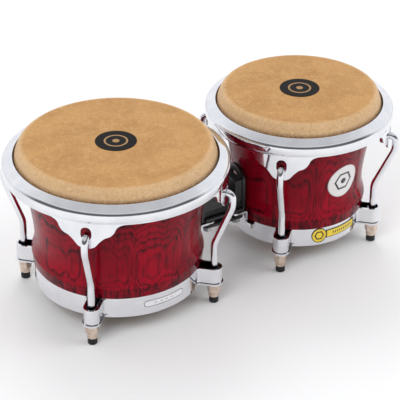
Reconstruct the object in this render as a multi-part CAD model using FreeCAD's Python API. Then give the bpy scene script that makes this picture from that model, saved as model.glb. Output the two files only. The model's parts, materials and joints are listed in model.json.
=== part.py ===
import FreeCAD, Part

import math
import os

# A pair of bongo drums. The large drum is the hembra, on -X, and the small one is the macho, on +X.
# Each has a flared wooden shell held between a chromed steel bottom ring and a tension rim. Four hooked
# rods pull the rim down over the skin, and a nut under each lug of the bottom ring draws its rod down.
# A block between the drums is bolted through rubber grommets to a tab on each bottom ring, so that the
# shells are not drilled. The pair stands on rubber caps on the rods' ends.
#
# Frame: millimetres, +Z up, +X from the hembra to the macho. The origin is on the floor, under the
# middle of the whole pair's length and width. In a section, u is the distance from a drum's centre line.

Vector = FreeCAD.Vector
UP = Vector(0, 0, 1)
FULL_TURN = 360.0

# ---- Driving sizes of each drum ----
RIM_GAP = 9.0             # between the two drums' rims
HEMBRA_HEAD_R = 107.2     # shell's outer radius just under the skin
HEMBRA_WAIST_R = 94.5     # narrowest part of the shell
HEMBRA_BULGE_R = 98.6     # widest part of the shell's foot
HEMBRA_RING_INSET = 2.7   # from the widest part in to the outside of the bottom ring
MACHO_HEAD_R = 90.4
MACHO_WAIST_R = 78.2
MACHO_BULGE_R = 82.2
MACHO_RING_INSET = 5.3

# ---- Heights above the floor, common to both drums ----
RING_BOTTOM_Z = 24.5
RING_HEIGHT = 24.1
SHELL_HEIGHT = 166.7      # from the ring's lip to the bearing edge
CREASE_Z = 62.5           # line round the widest part of the foot
WAIST_Z = 82.0
FLARE_START = 0.30        # shares of the way up from the waist that the flare's two ends pull
FLARE_END = 0.65
FOOT_BULGE_PULL = 1.6     # the foot's curve leaves the crease this far in

# ---- Shell ----
SHELL_WALL = 9.0
SHOULDER_INSET = 1.6      # the foot tapers in by this much from the crease to the ring
SHOULDER_GAP = 0.4        # shadow gap over the bottom ring
EDGE_RADIUS = 5.0         # outer rounding of the bearing edge
EDGE_FLAT = 2.5
EDGE_CHAMFER = 4.5        # inner chamfer of the bearing edge

# ---- Skin, the hoop in its edge, and the patch on it ----
SKIN_THICKNESS = 1.8
SKIN_FLAT_INSET = 3.4     # where the skin starts to turn over the bearing edge
SKIN_COLLAR_OUT = 6.4     # how far the collar has flared out at the rim's lip
SKIN_COLLAR_DROP = 15.4
SKIN_TURN = 5.7           # the skin's outside runs level for this far before it drops
SKIN_TURN_INSIDE = 4.8
SKIN_LEAN = 2.8           # the collar leans out by this much as it drops
SKIN_LEAN_DROP = 7.0
HOOP_WIRE_R = 2.5
HOOP_INSET = 3.0          # from the rim lip's edge to the wire's centre
HOOP_GAP = 0.3            # between the hoop and the skin wrapped round it
PATCH_R = 23.3
PATCH_THICKNESS = 0.4

# ---- Tension rim ----
RIM_SHEET = 2.4
RIM_OUT = 20.8            # the rim's widest radius, beyond the shell's
RIM_LIP_WIDTH = 12.6      # from the widest radius in to the lip's edge
RIM_LIP_DROP = 14.0       # the lip's edge, below the skin's top
RIM_LIP_FALL = 2.6        # how far the lip falls towards its outer side
RIM_SHOULDER_R = 7.0      # the rest of the lip's width slopes
RIM_TUCK = 1.7            # the skirt stands this far inside the widest radius
RIM_FACE_HEIGHT = 8.2     # from the widest radius down to the straight skirt
RIM_SKIRT = 1.2           # straight skirt below the face, between the ears
LIP_TO_WRAP = 0.4         # between the lip's underside and the wrapped hoop

# Half of an ear's outline: distance along the skirt, and depth below the skirt's edge
EAR_HALF_OUTLINE = (
    (46.0, 0.0),
    (38.5, 0.9),
    (33.0, 4.6),
    (30.5, 9.8),
    (26.5, 14.2),
    (20.0, 17.2),
    (15.0, 21.6),
    (9.0, 28.4),
)
EAR_DEPTH = 30.8
EAR_SLOT_GAP = 2.0        # on each side of the rod
EAR_SLOT_HEIGHT = 16.0
EAR_SLOT_ABOVE_TIP = 10.0

# ---- Lugs of the bottom ring, and what passes through them ----
LUG_ANGLES = (225.0, 315.0, 45.0, 135.0)
LUG_STANDOFF = 17.0       # rod's centre line, outside the bottom ring
RING_WALL = 2.0
RING_LIP_WIDTH = 6.0      # lip under the shell
CUP_ROOM = 2.9            # round the rod, inside the cup
CUP_WALL = 2.4
CUP_FILLET = 5.0          # where the cup's sides run out of the ring
CUP_TOP_BELOW_RING = 1.1
PLATE_THICKNESS = 2.0
PLATE_MARGIN = 1.4
WASHER_WIDTH = 4.0        # from its hole to its edge
WASHER_THICKNESS = 2.0

# ---- Tension rods, nuts and rubber caps ----
ROD_R = 4.0
ROD_HOLE_GAP = 0.6        # round the rod in the lug's plate and the washer
THREAD_GAP = 0.05         # running fit of a nut on its rod
HOOK_INSIDE_R = 3.5
HOOK_OFFSET = 0.6         # the hook's centre, outside the middle of the ear's sheet
HOOK_SEAT_GAP = 0.1       # between the hook and the edges of the slot's seat
ROD_STRAIGHT_ABOVE_RING = 28.9
ROD_SLANT_HEIGHT = 50.5
ROD_BEND_R = 26.0
ROD_TOP_STRAIGHT = 8.0    # at least, between the slant and the hook
NUT_WALL = 2.65           # from the thread to the flats
NUT_HEX_LENGTH = 9.8
NUT_COLLAR_WALL = 2.05
NUT_CHAMFER = 0.9
BEARING_GAP = 0.1         # between a nut and its washer
CAP_LENGTH = 7.5
CAP_WALL = 1.4
CAP_FLOOR = 2.2           # rubber under the rod's end
CAP_CHAMFER = 1.0
CAP_TO_NUT = 0.3

# ---- Tabs on the bottom rings, and the block bolted to them ----
TAB_SHEET = 2.5
TAB_HALF_WIDTH = 20.0
TAB_ROOT_HEIGHT = 9.0
TAB_SHELL_GAP = 1.2       # between the tab's upright and the shell's bulge
TAB_FLANGE_Z = 61.2       # underside of the level flange
TAB_PAST_GROMMET = 2.4    # flange past the grommets' necks
TAB_CORNER_R = 6.0
HEMBRA_BAR_GAP = 3.0      # between a tab's upright and the ends of the tie bars
MACHO_BAR_GAP = 0.4
BOLT_HALF_SPACING = 12.5
BOLT_R = 3.0
BOLT_GAP = 0.1
BOLT_HEX_WALL = 2.0       # from the shank to the head's flats
BOLT_HEX_HEIGHT = 5.0
BOLT_FLANGE_WIDTH = 3.6
BOLT_FLANGE_HEIGHT = 1.5
BOLT_REACH = 14.0         # how far a bolt goes into the block
GROMMET_WALL = 2.5        # round the bolt, in the tab's hole
GROMMET_LIP_WIDTH = 2.8
GROMMET_LIP = 1.7
TIE_BAR_HEIGHT = 3.0
TIE_BAR_SIDE = 4.6        # metal on each side of a bolt
TIE_BAR_END = 5.6         # metal past a bolt at each end

BLOCK_PLATE = 4.5
BLOCK_SHELL_GAP = 3.0     # between a block plate and the widest of its shell beside it
BOLT_PLATE_WALL = 2.0     # the block's metal between a bolt and a plate, at least
BLOCK_PLATE_HALF_WIDTH = 18.5
BLOCK_PLATE_HEIGHT = 54.0
BLOCK_PLATE_ROUNDING = 1.2
BLOCK_HOLE_R = 8.0
BLOCK_HOLE_RISE = 2.0     # over the centre of the plate's arch
BLOCK_POCKET_DEPTH = 2.4
BLOCK_POCKET_HALF_WIDTH = 9.0
BLOCK_POCKET_HEIGHT = 25.0
BLOCK_POCKET_BOTTOM = 3.5
BLOCK_POCKET_ROUNDING = 3.0
RAIL_HEIGHT = 5.0
RAIL_HALF_WIDTH = 21.5
RAIL_ROUNDING = 2.2
BODY_HALF_WIDTH = 17.0
BODY_HEIGHT = 42.0
BODY_ROUNDING = 2.0
WINDOW_COLUMN = 9.5
WINDOW_SILL = 23.5        # above the rail's underside
GROOVE_HEIGHT = 1.1
GROOVE_DEPTH = 0.9
GROOVE_LEVELS = (8.0, 10.6)
SCREW_R = 2.5
SCREW_HEAD_R = 4.4
SCREW_HEAD_TOP_R = 2.6
SCREW_HEAD_HEIGHT = 2.0
SCREW_LENGTH = 12.0
SCREW_SPACING = 12.0

# ---- Badges: thin, on the surfaces that face forward ----
BADGE_THICKNESS = 0.6
SHELL_BADGE_R = 21.5
SHELL_BADGE_ANGLE = -83.0
SHELL_BADGE_Z = 106.0
RING_PLATE_ANGLE = -87.0
RING_PLATE_HALF_LENGTH = 27.0
RING_PLATE_HALF_HEIGHT = 4.5
RING_PLATE_RISE = 13.5    # over the ring's lower edge
RING_BADGE_ANGLE = -103.3
RING_BADGE_R = 9.6
RING_STRIP_ANGLE = -79.3
RING_STRIP_HALF_LENGTH = 23.0
RING_STRIP_HALF_HEIGHT = 5.1
RING_BADGE_RISE = 12.8

# ---- Sizes that follow from the ones above ----
LIP_TOP_Z = RING_BOTTOM_Z + PLATE_THICKNESS
RING_TOP_Z = RING_BOTTOM_Z + RING_HEIGHT
BEARING_Z = LIP_TOP_Z + SHELL_HEIGHT
SKIN_TOP_Z = BEARING_Z + SKIN_THICKNESS
RIM_LIP_Z = SKIN_TOP_Z - RIM_LIP_DROP
RIM_BEND_Z = RIM_LIP_Z - RIM_LIP_FALL
RIM_LIP_SLOPE = RIM_LIP_FALL / (RIM_LIP_WIDTH - RIM_SHOULDER_R)
RIM_WIDEST_Z = RIM_BEND_Z - RIM_SHOULDER_R
RIM_FACE_Z = RIM_WIDEST_Z - RIM_FACE_HEIGHT
SKIRT_Z = RIM_FACE_Z - RIM_SKIRT
EAR_TIP_Z = SKIRT_Z - EAR_DEPTH
SLOT_SEAT_Z = EAR_TIP_Z + EAR_SLOT_ABOVE_TIP
WASHER_Z = RING_BOTTOM_Z
LUG_PLATE_Z = WASHER_Z + WASHER_THICKNESS
NUT_TOP_Z = WASHER_Z - BEARING_GAP
NUT_BOTTOM_Z = CAP_LENGTH + CAP_TO_NUT
GROMMET_BOTTOM_Z = TAB_FLANGE_Z - GROMMET_LIP
GROMMET_TOP_Z = TAB_FLANGE_Z + TAB_SHEET + GROMMET_LIP
TIE_BAR_Z = GROMMET_BOTTOM_Z - TIE_BAR_HEIGHT
BLOCK_Z = GROMMET_TOP_Z
WRAP_R = HOOP_WIRE_R + HOOP_GAP + SKIN_THICKNESS
EAR_SLOT_WIDTH = 2 * (ROD_R + EAR_SLOT_GAP)
HOOK_BEND_R = ROD_R + HOOK_INSIDE_R
CUP_HALF_WIDTH = ROD_R + CUP_ROOM + CUP_WALL
WASHER_R = ROD_R + ROD_HOLE_GAP + WASHER_WIDTH
NUT_FLATS = 2 * (ROD_R + THREAD_GAP + NUT_WALL)
NUT_COLLAR_R = ROD_R + THREAD_GAP + NUT_COLLAR_WALL
CAP_R = ROD_R + CAP_WALL
BOLT_HEX_FLATS = 2 * (BOLT_R + BOLT_HEX_WALL)
BOLT_FLANGE_R = BOLT_R + BOLT_FLANGE_WIDTH
GROMMET_NECK_R = BOLT_R + BOLT_GAP + GROMMET_WALL
GROMMET_LIP_R = GROMMET_NECK_R + GROMMET_LIP_WIDTH
TIE_BAR_HALF_WIDTH = BOLT_R + TIE_BAR_SIDE


class Drum:
    """The sizes that set one drum apart, and those that follow from them."""

    def __init__(self, name, x, head_r, waist_r, bulge_r, ring_inset, bar_gap, inward):
        self.name = name
        self.x = x
        self.head_r = head_r
        self.waist_r = waist_r
        self.bulge_r = bulge_r
        self.ring_r = bulge_r - ring_inset
        self.inward = inward                      # +1 or -1: the way to the other drum, along X
        self.rim_r = head_r + RIM_OUT
        self.skirt_r = self.rim_r - RIM_TUCK      # outside of the straight skirt and the ears
        self.lug_r = self.ring_r + LUG_STANDOFF
        self.bore_r = waist_r - SHELL_WALL
        self.tab_in = bulge_r + TAB_SHELL_GAP     # the tab's upright, from inside to outside
        self.tab_out = self.tab_in + TAB_SHEET
        self.plate_r = self.shell_reach() + BLOCK_SHELL_GAP      # outer face of the block's plate
        past_tab = self.tab_out + bar_gap + TIE_BAR_END
        past_plate = self.plate_r + BLOCK_PLATE + BOLT_PLATE_WALL
        self.bolt_r = max(past_tab, past_plate) + BOLT_R

    def shell_reach(self):
        """Widest outer radius of the shell beside the block: its bulge, or its flare at the plate's top."""
        return max(self.bulge_r, shell_radius(self, BLOCK_Z + BLOCK_PLATE_HEIGHT))


def drums():
    """Both drums, with the pair's whole length centred on the origin."""
    hembra_reach = HEMBRA_HEAD_R + RIM_OUT
    macho_reach = MACHO_HEAD_R + RIM_OUT
    spacing = hembra_reach + RIM_GAP + macho_reach
    hembra_x = (hembra_reach - macho_reach - spacing) / 2
    macho_x = hembra_x + spacing
    hembra_shell = (HEMBRA_HEAD_R, HEMBRA_WAIST_R, HEMBRA_BULGE_R)
    macho_shell = (MACHO_HEAD_R, MACHO_WAIST_R, MACHO_BULGE_R)
    hembra = Drum("hembra", hembra_x, *hembra_shell, HEMBRA_RING_INSET, HEMBRA_BAR_GAP, 1)
    macho = Drum("macho", macho_x, *macho_shell, MACHO_RING_INSET, MACHO_BAR_GAP, -1)
    return hembra, macho


# ---- Helpers ----
def at(u, z):
    """A point of a section, in the XZ plane."""
    return Vector(u, 0, z)


def line(start, end):
    return Part.LineSegment(start, end).toShape()


def curve(*poles):
    """A Bezier curve through its first and last poles."""
    bezier = Part.BezierCurve()
    bezier.setPoles(list(poles))
    return bezier.toShape()


def arc(start, middle, end):
    return Part.Arc(start, middle, end).toShape()


def chain(*points):
    """Straight edges from point to point."""
    return [line(start, end) for start, end in zip(points, points[1:])]


def face(edges):
    return Part.Face(Part.Wire(Part.__sortEdges__(edges)))


def turned(edges):
    """The solid made by a section turned round the Z axis."""
    return face(edges).revolve(Vector(0, 0, 0), UP, FULL_TURN)


def tube(outer_r, inner_r, bottom, top):
    """A hollow cylinder round the Z axis, or a plain one if inner_r is 0."""
    body = Part.makeCylinder(outer_r, top - bottom, Vector(0, 0, bottom))
    if inner_r > 0:
        body = body.cut(Part.makeCylinder(inner_r, top - bottom, Vector(0, 0, bottom)))
    return body


def block(x_range, y_range, z_range):
    """A box between two limits along each axis."""
    corner = Vector(x_range[0], y_range[0], z_range[0])
    return Part.makeBox(
        x_range[1] - x_range[0], y_range[1] - y_range[0], z_range[1] - z_range[0], corner
    )


def hexagon(flats, bottom, top):
    """A hexagonal prism round the Z axis."""
    corner_r = flats / math.sqrt(3)
    corners = []
    for side in range(7):
        angle = math.radians(60 * side)
        corners.append(Vector(corner_r * math.cos(angle), corner_r * math.sin(angle), bottom))
    return Part.Face(Part.makePolygon(corners)).extrude(Vector(0, 0, top - bottom))


def turned_to(shape, angle):
    """A copy of a shape turned round the Z axis."""
    copy = shape.copy()
    copy.rotate(Vector(0, 0, 0), UP, angle)
    return copy


def moved(shape, x=0.0, y=0.0, z=0.0):
    copy = shape.copy()
    copy.translate(Vector(x, y, z))
    return copy


def joined(shapes):
    """Several overlapping solids as one."""
    whole = shapes[0].fuse(shapes[1:])
    return whole.removeSplitter()


def path_with_bends(points, bend_r):
    """Straight runs joined by tangent arcs of one radius."""
    edges = []
    start = points[0]
    for before, corner, after in zip(points, points[1:], points[2:]):
        back = (before - corner).normalize()
        ahead = (after - corner).normalize()
        half_turn = (math.pi - back.getAngle(ahead)) / 2
        reach = bend_r * math.tan(half_turn)
        middle = (back + ahead).normalize() * (bend_r / math.cos(half_turn) - bend_r)
        arc_start = corner + back * reach
        arc_end = corner + ahead * reach
        edges.append(line(start, arc_start))
        edges.append(arc(arc_start, corner + middle, arc_end))
        start = arc_end
    edges.append(line(start, points[-1]))
    return edges


# ---- Pieces of each drum ----
def shell_upper_poles(drum, out=0.0):
    """The shell's outline from its waist up to the bearing edge, out mm further from the axis."""
    rise = BEARING_Z - EDGE_RADIUS - WAIST_Z
    return (
        at(drum.waist_r + out, WAIST_Z),
        at(drum.waist_r + out, WAIST_Z + FLARE_START * rise),
        at(drum.head_r + out, WAIST_Z + FLARE_END * rise),
        at(drum.head_r + out, BEARING_Z - EDGE_RADIUS),
    )


def shell(drum):
    """Flared wooden shell, open at the bottom, with its foot turned down to fit the bottom ring."""
    fit_r = drum.ring_r - RING_WALL
    shoulder_r = drum.bulge_r - SHOULDER_INSET
    shoulder_z = RING_TOP_Z + SHOULDER_GAP
    foot_rise = WAIST_Z - CREASE_Z
    edge_z = BEARING_Z - EDGE_RADIUS
    edge_r = drum.head_r - EDGE_RADIUS
    flat_r = edge_r - EDGE_FLAT
    chamfer_r = flat_r - EDGE_CHAMFER
    chamfer_z = BEARING_Z - EDGE_CHAMFER
    diagonal = EDGE_RADIUS * math.sqrt(0.5)
    edges = chain(
        at(drum.bore_r, LIP_TOP_Z),
        at(fit_r, LIP_TOP_Z),
        at(fit_r, shoulder_z),
        at(shoulder_r, shoulder_z),
        at(drum.bulge_r, CREASE_Z),
    )
    edges.append(
        curve(
            at(drum.bulge_r, CREASE_Z),
            at(drum.bulge_r - FOOT_BULGE_PULL, CREASE_Z + (1 - FLARE_END) * foot_rise),
            at(drum.waist_r, CREASE_Z + FLARE_END * foot_rise),
            at(drum.waist_r, WAIST_Z),
        )
    )
    edges.append(curve(*shell_upper_poles(drum)))
    edges.append(
        arc(at(drum.head_r, edge_z), at(edge_r + diagonal, edge_z + diagonal), at(edge_r, BEARING_Z))
    )
    edges += chain(
        at(edge_r, BEARING_Z),
        at(flat_r, BEARING_Z),
        at(chamfer_r, chamfer_z),
    )
    middle_z = (WAIST_Z + chamfer_z) / 2
    edges.append(
        curve(
            at(chamfer_r, chamfer_z),
            at(chamfer_r, middle_z + FLARE_START * (chamfer_z - middle_z)),
            at(drum.bore_r, middle_z),
            at(drum.bore_r, WAIST_Z),
        )
    )
    edges += chain(at(drum.bore_r, WAIST_Z), at(drum.bore_r, LIP_TOP_Z))
    return turned(edges)


def hoop_centre(drum):
    """Centre of the flesh hoop's wire: its skin wrapping sits just under the rim's lip."""
    hoop_r = drum.rim_r - RIM_LIP_WIDTH + HOOP_INSET
    slant = math.hypot(1, RIM_LIP_SLOPE)
    lip_underside = RIM_LIP_Z - HOOP_INSET * RIM_LIP_SLOPE - RIM_SHEET * slant
    return hoop_r, lip_underside - (LIP_TO_WRAP + WRAP_R) * slant


def skin(drum):
    """Skin over the bearing edge, flaring down to the wrapping round the flesh hoop."""
    hoop_r, hoop_z = hoop_centre(drum)
    flat_r = drum.head_r - SKIN_FLAT_INSET
    collar_r = drum.head_r + SKIN_COLLAR_OUT
    collar_z = SKIN_TOP_Z - SKIN_COLLAR_DROP
    inner_r = hoop_r - WRAP_R
    outer_r = inner_r + SKIN_THICKNESS
    slip = SKIN_THICKNESS / 3
    outside = curve(
        at(flat_r, SKIN_TOP_Z),
        at(flat_r + SKIN_TURN, SKIN_TOP_Z),
        at(collar_r - SKIN_LEAN, SKIN_TOP_Z - SKIN_LEAN_DROP),
        at(collar_r, collar_z),
    )
    inside = curve(
        at(flat_r, BEARING_Z),
        at(flat_r + SKIN_TURN_INSIDE, BEARING_Z),
        at(collar_r - SKIN_LEAN - SKIN_THICKNESS, SKIN_TOP_Z - SKIN_LEAN_DROP - slip),
        at(collar_r - SKIN_THICKNESS, collar_z - slip),
    )
    edges = chain(at(0, BEARING_Z), at(0, SKIN_TOP_Z), at(flat_r, SKIN_TOP_Z)) + [outside]
    edges += chain(
        at(collar_r, collar_z),
        at(outer_r, hoop_z),
        at(inner_r, hoop_z),
        at(collar_r - SKIN_THICKNESS, collar_z - slip),
    )
    edges += [inside] + chain(at(flat_r, BEARING_Z), at(0, BEARING_Z))
    wrap = Part.makeTorus(hoop_r, WRAP_R, Vector(0, 0, hoop_z))
    room = Part.makeTorus(hoop_r, HOOP_WIRE_R + HOOP_GAP, Vector(0, 0, hoop_z))
    return joined([turned(edges), wrap]).cut(room)


def flesh_hoop(drum):
    """Steel ring in the skin's edge, which the rim's lip presses down."""
    hoop_r, hoop_z = hoop_centre(drum)
    return Part.makeTorus(hoop_r, HOOP_WIRE_R, Vector(0, 0, hoop_z))


def head_patch(drum):
    """Round patch in the middle of the head."""
    return tube(PATCH_R, 0, SKIN_TOP_Z, SKIN_TOP_Z + PATCH_THICKNESS)


def rim_band(drum):
    """The rim's pressed section all the way round: sloping lip, rounded shoulder, short skirt."""
    rim_r = drum.rim_r
    lip_r = rim_r - RIM_LIP_WIDTH
    shoulder_r = rim_r - RIM_SHOULDER_R
    diagonal = math.sqrt(0.5)
    inner_radius = RIM_SHOULDER_R - RIM_SHEET
    lip_depth = RIM_SHEET * math.hypot(1, RIM_LIP_SLOPE)
    outer_middle = at(
        shoulder_r + RIM_SHOULDER_R * diagonal, RIM_WIDEST_Z + RIM_SHOULDER_R * diagonal
    )
    inner_middle = at(shoulder_r + inner_radius * diagonal, RIM_WIDEST_Z + inner_radius * diagonal)
    skirt_in = drum.skirt_r - RIM_SHEET
    edges = chain(
        at(lip_r, RIM_LIP_Z - lip_depth),
        at(lip_r, RIM_LIP_Z),
        at(shoulder_r, RIM_BEND_Z),
    )
    edges.append(arc(at(shoulder_r, RIM_BEND_Z), outer_middle, at(rim_r, RIM_WIDEST_Z)))
    edges += chain(
        at(rim_r, RIM_WIDEST_Z),
        at(drum.skirt_r, RIM_FACE_Z),
        at(drum.skirt_r, SKIRT_Z),
        at(skirt_in, SKIRT_Z),
        at(skirt_in, RIM_FACE_Z),
        at(rim_r - RIM_SHEET, RIM_WIDEST_Z),
    )
    edges.append(
        arc(
            at(rim_r - RIM_SHEET, RIM_WIDEST_Z),
            inner_middle,
            at(shoulder_r, RIM_BEND_Z - RIM_SHEET),
        )
    )
    edges += chain(at(shoulder_r, RIM_BEND_Z - RIM_SHEET), at(lip_r, RIM_LIP_Z - lip_depth))
    return turned(edges)


def ear(drum):
    """One ear of the rim, at angle 0: a scalloped tongue of the skirt with a slot for the rod's hook."""
    overlap = RIM_SKIRT
    outline = []
    for along, depth in EAR_HALF_OUTLINE:
        outline.append(Vector(0, drum.skirt_r * math.sin(along / drum.skirt_r), SKIRT_Z - depth))
    tip = Vector(0, 0, EAR_TIP_Z)
    mirrored = [Vector(0, -point.y, point.z) for point in reversed(outline)]
    spline = Part.BSplineCurve()
    spline.interpolate(outline + [tip] + mirrored)
    edges = [spline.toShape()]
    edges += chain(
        mirrored[-1],
        mirrored[-1] + Vector(0, 0, overlap),
        outline[0] + Vector(0, 0, overlap),
        outline[0],
    )
    tongue = face(edges).extrude(Vector(drum.rim_r, 0, 0))
    skirt = tube(drum.skirt_r, drum.skirt_r - RIM_SHEET, EAR_TIP_Z - 1, SKIRT_Z + overlap)
    half_width = EAR_SLOT_WIDTH / 2
    low = SLOT_SEAT_Z + half_width
    high = SLOT_SEAT_Z + EAR_SLOT_HEIGHT - half_width
    slot = block((0, drum.rim_r), (-half_width, half_width), (low, high))
    along_x = Vector(1, 0, 0)
    slot = slot.fuse(Part.makeCylinder(half_width, drum.rim_r, Vector(0, 0, low), along_x))
    slot = slot.fuse(Part.makeCylinder(half_width, drum.rim_r, Vector(0, 0, high), along_x))
    return skirt.common(tongue).cut(slot)


def rim(drum):
    """Chromed rim with its four ears."""
    one_ear = ear(drum)
    ears = [turned_to(one_ear, angle) for angle in LUG_ANGLES]
    return joined([rim_band(drum)] + ears)


def cup_outline(drum, half_width, inner_r):
    """Plan of a lug at angle 0: its sides leave the ring in a fillet and end in a half circle."""
    fillet_y = half_width + CUP_FILLET
    fillet_x = math.sqrt((drum.ring_r + CUP_FILLET) ** 2 - fillet_y**2)
    foot_angle = math.atan2(fillet_y, fillet_x)
    foot = Vector(drum.ring_r * math.cos(foot_angle), drum.ring_r * math.sin(foot_angle), 0)
    root = Vector(inner_r * math.cos(foot_angle), inner_r * math.sin(foot_angle), 0)
    towards = (foot_angle + math.pi / 2) / 2
    fillet_middle = Vector(
        fillet_x - CUP_FILLET * math.sin(math.pi / 2 - towards),
        fillet_y - CUP_FILLET * math.sin(towards),
        0,
    )
    side = Vector(fillet_x, half_width, 0)
    shoulder = Vector(drum.lug_r, half_width, 0)
    edges = []
    for sign in (1, -1):
        points = [Vector(p.x, sign * p.y, 0) for p in (root, foot, fillet_middle, side, shoulder)]
        edges.append(line(points[0], points[1]))
        edges.append(arc(points[1], points[2], points[3]))
        edges.append(line(points[3], points[4]))
    nose = Vector(drum.lug_r + half_width, 0, 0)
    edges.append(arc(shoulder, nose, Vector(shoulder.x, -shoulder.y, 0)))
    edges.append(arc(root, Vector(inner_r, 0, 0), Vector(root.x, -root.y, 0)))
    return face(edges)


def cup(drum):
    """One lug at angle 0: a cup open at the top, on a base plate that the rod passes through."""
    inner_r = drum.ring_r - RING_WALL / 2
    top = RING_TOP_Z - CUP_TOP_BELOW_RING
    wall_z = LUG_PLATE_Z + PLATE_THICKNESS
    room = CUP_HALF_WIDTH - CUP_WALL
    wall = moved(cup_outline(drum, CUP_HALF_WIDTH, inner_r), z=wall_z).extrude(UP * (top - wall_z))
    pocket = block((drum.ring_r, drum.lug_r), (-room, room), (wall_z, top))
    pocket = pocket.fuse(Part.makeCylinder(room, top - wall_z, Vector(drum.lug_r, 0, wall_z)))
    pocket = pocket.cut(Part.makeCylinder(drum.ring_r, top, Vector(0, 0, 0)))
    plate = cup_outline(drum, CUP_HALF_WIDTH + PLATE_MARGIN, inner_r)
    plate = moved(plate, z=LUG_PLATE_Z).extrude(UP * PLATE_THICKNESS)
    hole = Part.makeCylinder(ROD_R + ROD_HOLE_GAP, RING_TOP_Z, Vector(drum.lug_r, 0, 0))
    return joined([wall.cut(pocket), plate]).cut(hole)


def tab(drum):
    """Tab towards the other drum, along +X: up past the shell's bulge, then level under the block."""
    half_sheet = TAB_SHEET / 2
    root_z = RING_TOP_Z - TAB_ROOT_HEIGHT
    end = drum.bolt_r + GROMMET_NECK_R + TAB_PAST_GROMMET
    top = TAB_FLANGE_Z + TAB_SHEET
    edges = chain(
        at(drum.ring_r - half_sheet, root_z),
        at(drum.ring_r + half_sheet, root_z),
        at(drum.tab_out, RING_TOP_Z - half_sheet),
        at(drum.tab_out, TAB_FLANGE_Z),
        at(end, TAB_FLANGE_Z),
        at(end, top),
        at(drum.tab_in, top),
        at(drum.tab_in, RING_TOP_Z - half_sheet),
        at(drum.ring_r - half_sheet, root_z + TAB_SHEET),
        at(drum.ring_r - half_sheet, root_z),
    )
    sheet = moved(face(edges), y=-TAB_HALF_WIDTH).extrude(Vector(0, 2 * TAB_HALF_WIDTH, 0))
    bends = []
    corners = []
    for edge in sheet.Edges:
        middle = edge.CenterOfMass
        upright = abs(edge.tangentAt(edge.FirstParameter).z) > 0.99
        if upright and abs(middle.x - end) < 0.01:
            corners.append(edge)
        if abs(middle.y) < 0.01 and abs(middle.z - top) < 0.01 and middle.x < end - 1:
            bends.append(edge)
    sheet = sheet.makeFillet(TAB_CORNER_R, corners)
    bends = [edge for edge in sheet.Edges if any(same_middle(edge, bend) for bend in bends)]
    sheet = sheet.makeFillet(TAB_SHEET, bends)
    root = block(
        (drum.ring_r - 3 * RING_WALL, drum.ring_r + half_sheet),
        (-TAB_HALF_WIDTH, TAB_HALF_WIDTH),
        (root_z - TAB_SHEET, root_z + TAB_SHEET),
    )
    whole = joined([sheet, root])
    whole = whole.cut(Part.makeCylinder(drum.ring_r - RING_WALL / 2, SKIN_TOP_Z))
    for y in (-BOLT_HALF_SPACING, BOLT_HALF_SPACING):
        centre = Vector(drum.bolt_r, y, 0)
        whole = whole.cut(Part.makeCylinder(GROMMET_NECK_R, SKIN_TOP_Z, centre))
    return whole


def same_middle(edge, other):
    return (edge.CenterOfMass - other.CenterOfMass).Length < 0.01


def bottom_ring(drum):
    """Chromed band round the shell's foot, with a lip under it, four lugs and the block's tab."""
    lip_r = drum.ring_r - RING_WALL - RING_LIP_WIDTH
    band = tube(drum.ring_r, drum.ring_r - RING_WALL, RING_BOTTOM_Z, RING_TOP_Z)
    lip = tube(drum.ring_r - RING_WALL / 2, lip_r, RING_BOTTOM_Z, LIP_TOP_Z)
    one_cup = cup(drum)
    cups = [turned_to(one_cup, angle) for angle in LUG_ANGLES]
    facing = turned_to(tab(drum), 0 if drum.inward > 0 else 180)
    return joined([band, lip, facing] + cups)


def rod(drum):
    """Tension rod at angle 0: threaded end down, slanting out, hooked over the ear's slot."""
    hook_r = drum.skirt_r - RIM_SHEET / 2 + HOOK_OFFSET
    inside_r = HOOK_BEND_R - ROD_R - HOOK_SEAT_GAP
    hook_z = SLOT_SEAT_Z - math.sqrt(inside_r**2 - (RIM_SHEET / 2 + HOOK_OFFSET) ** 2)
    outer = at(hook_r + HOOK_BEND_R, hook_z)
    inner = at(hook_r - HOOK_BEND_R, hook_z)
    slant_z = RING_TOP_Z + ROD_STRAIGHT_ABOVE_RING
    end = at(drum.lug_r, CAP_FLOOR)
    points = [
        end,
        at(drum.lug_r, slant_z),
        at(outer.x, min(slant_z + ROD_SLANT_HEIGHT, hook_z - ROD_TOP_STRAIGHT)),
        outer,
    ]
    edges = path_with_bends(points, ROD_BEND_R)
    edges.append(arc(outer, at(hook_r, hook_z + HOOK_BEND_R), inner))
    section = Part.Wire(Part.makeCircle(ROD_R, end, UP))
    body = Part.Wire(edges).makePipeShell([section], True, False)
    tip = Part.makeSphere(ROD_R, inner)
    return joined([body, tip])


def washer(drum):
    hole_r = ROD_R + ROD_HOLE_GAP
    return moved(tube(WASHER_R, hole_r, WASHER_Z, LUG_PLATE_Z), x=drum.lug_r)


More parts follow.
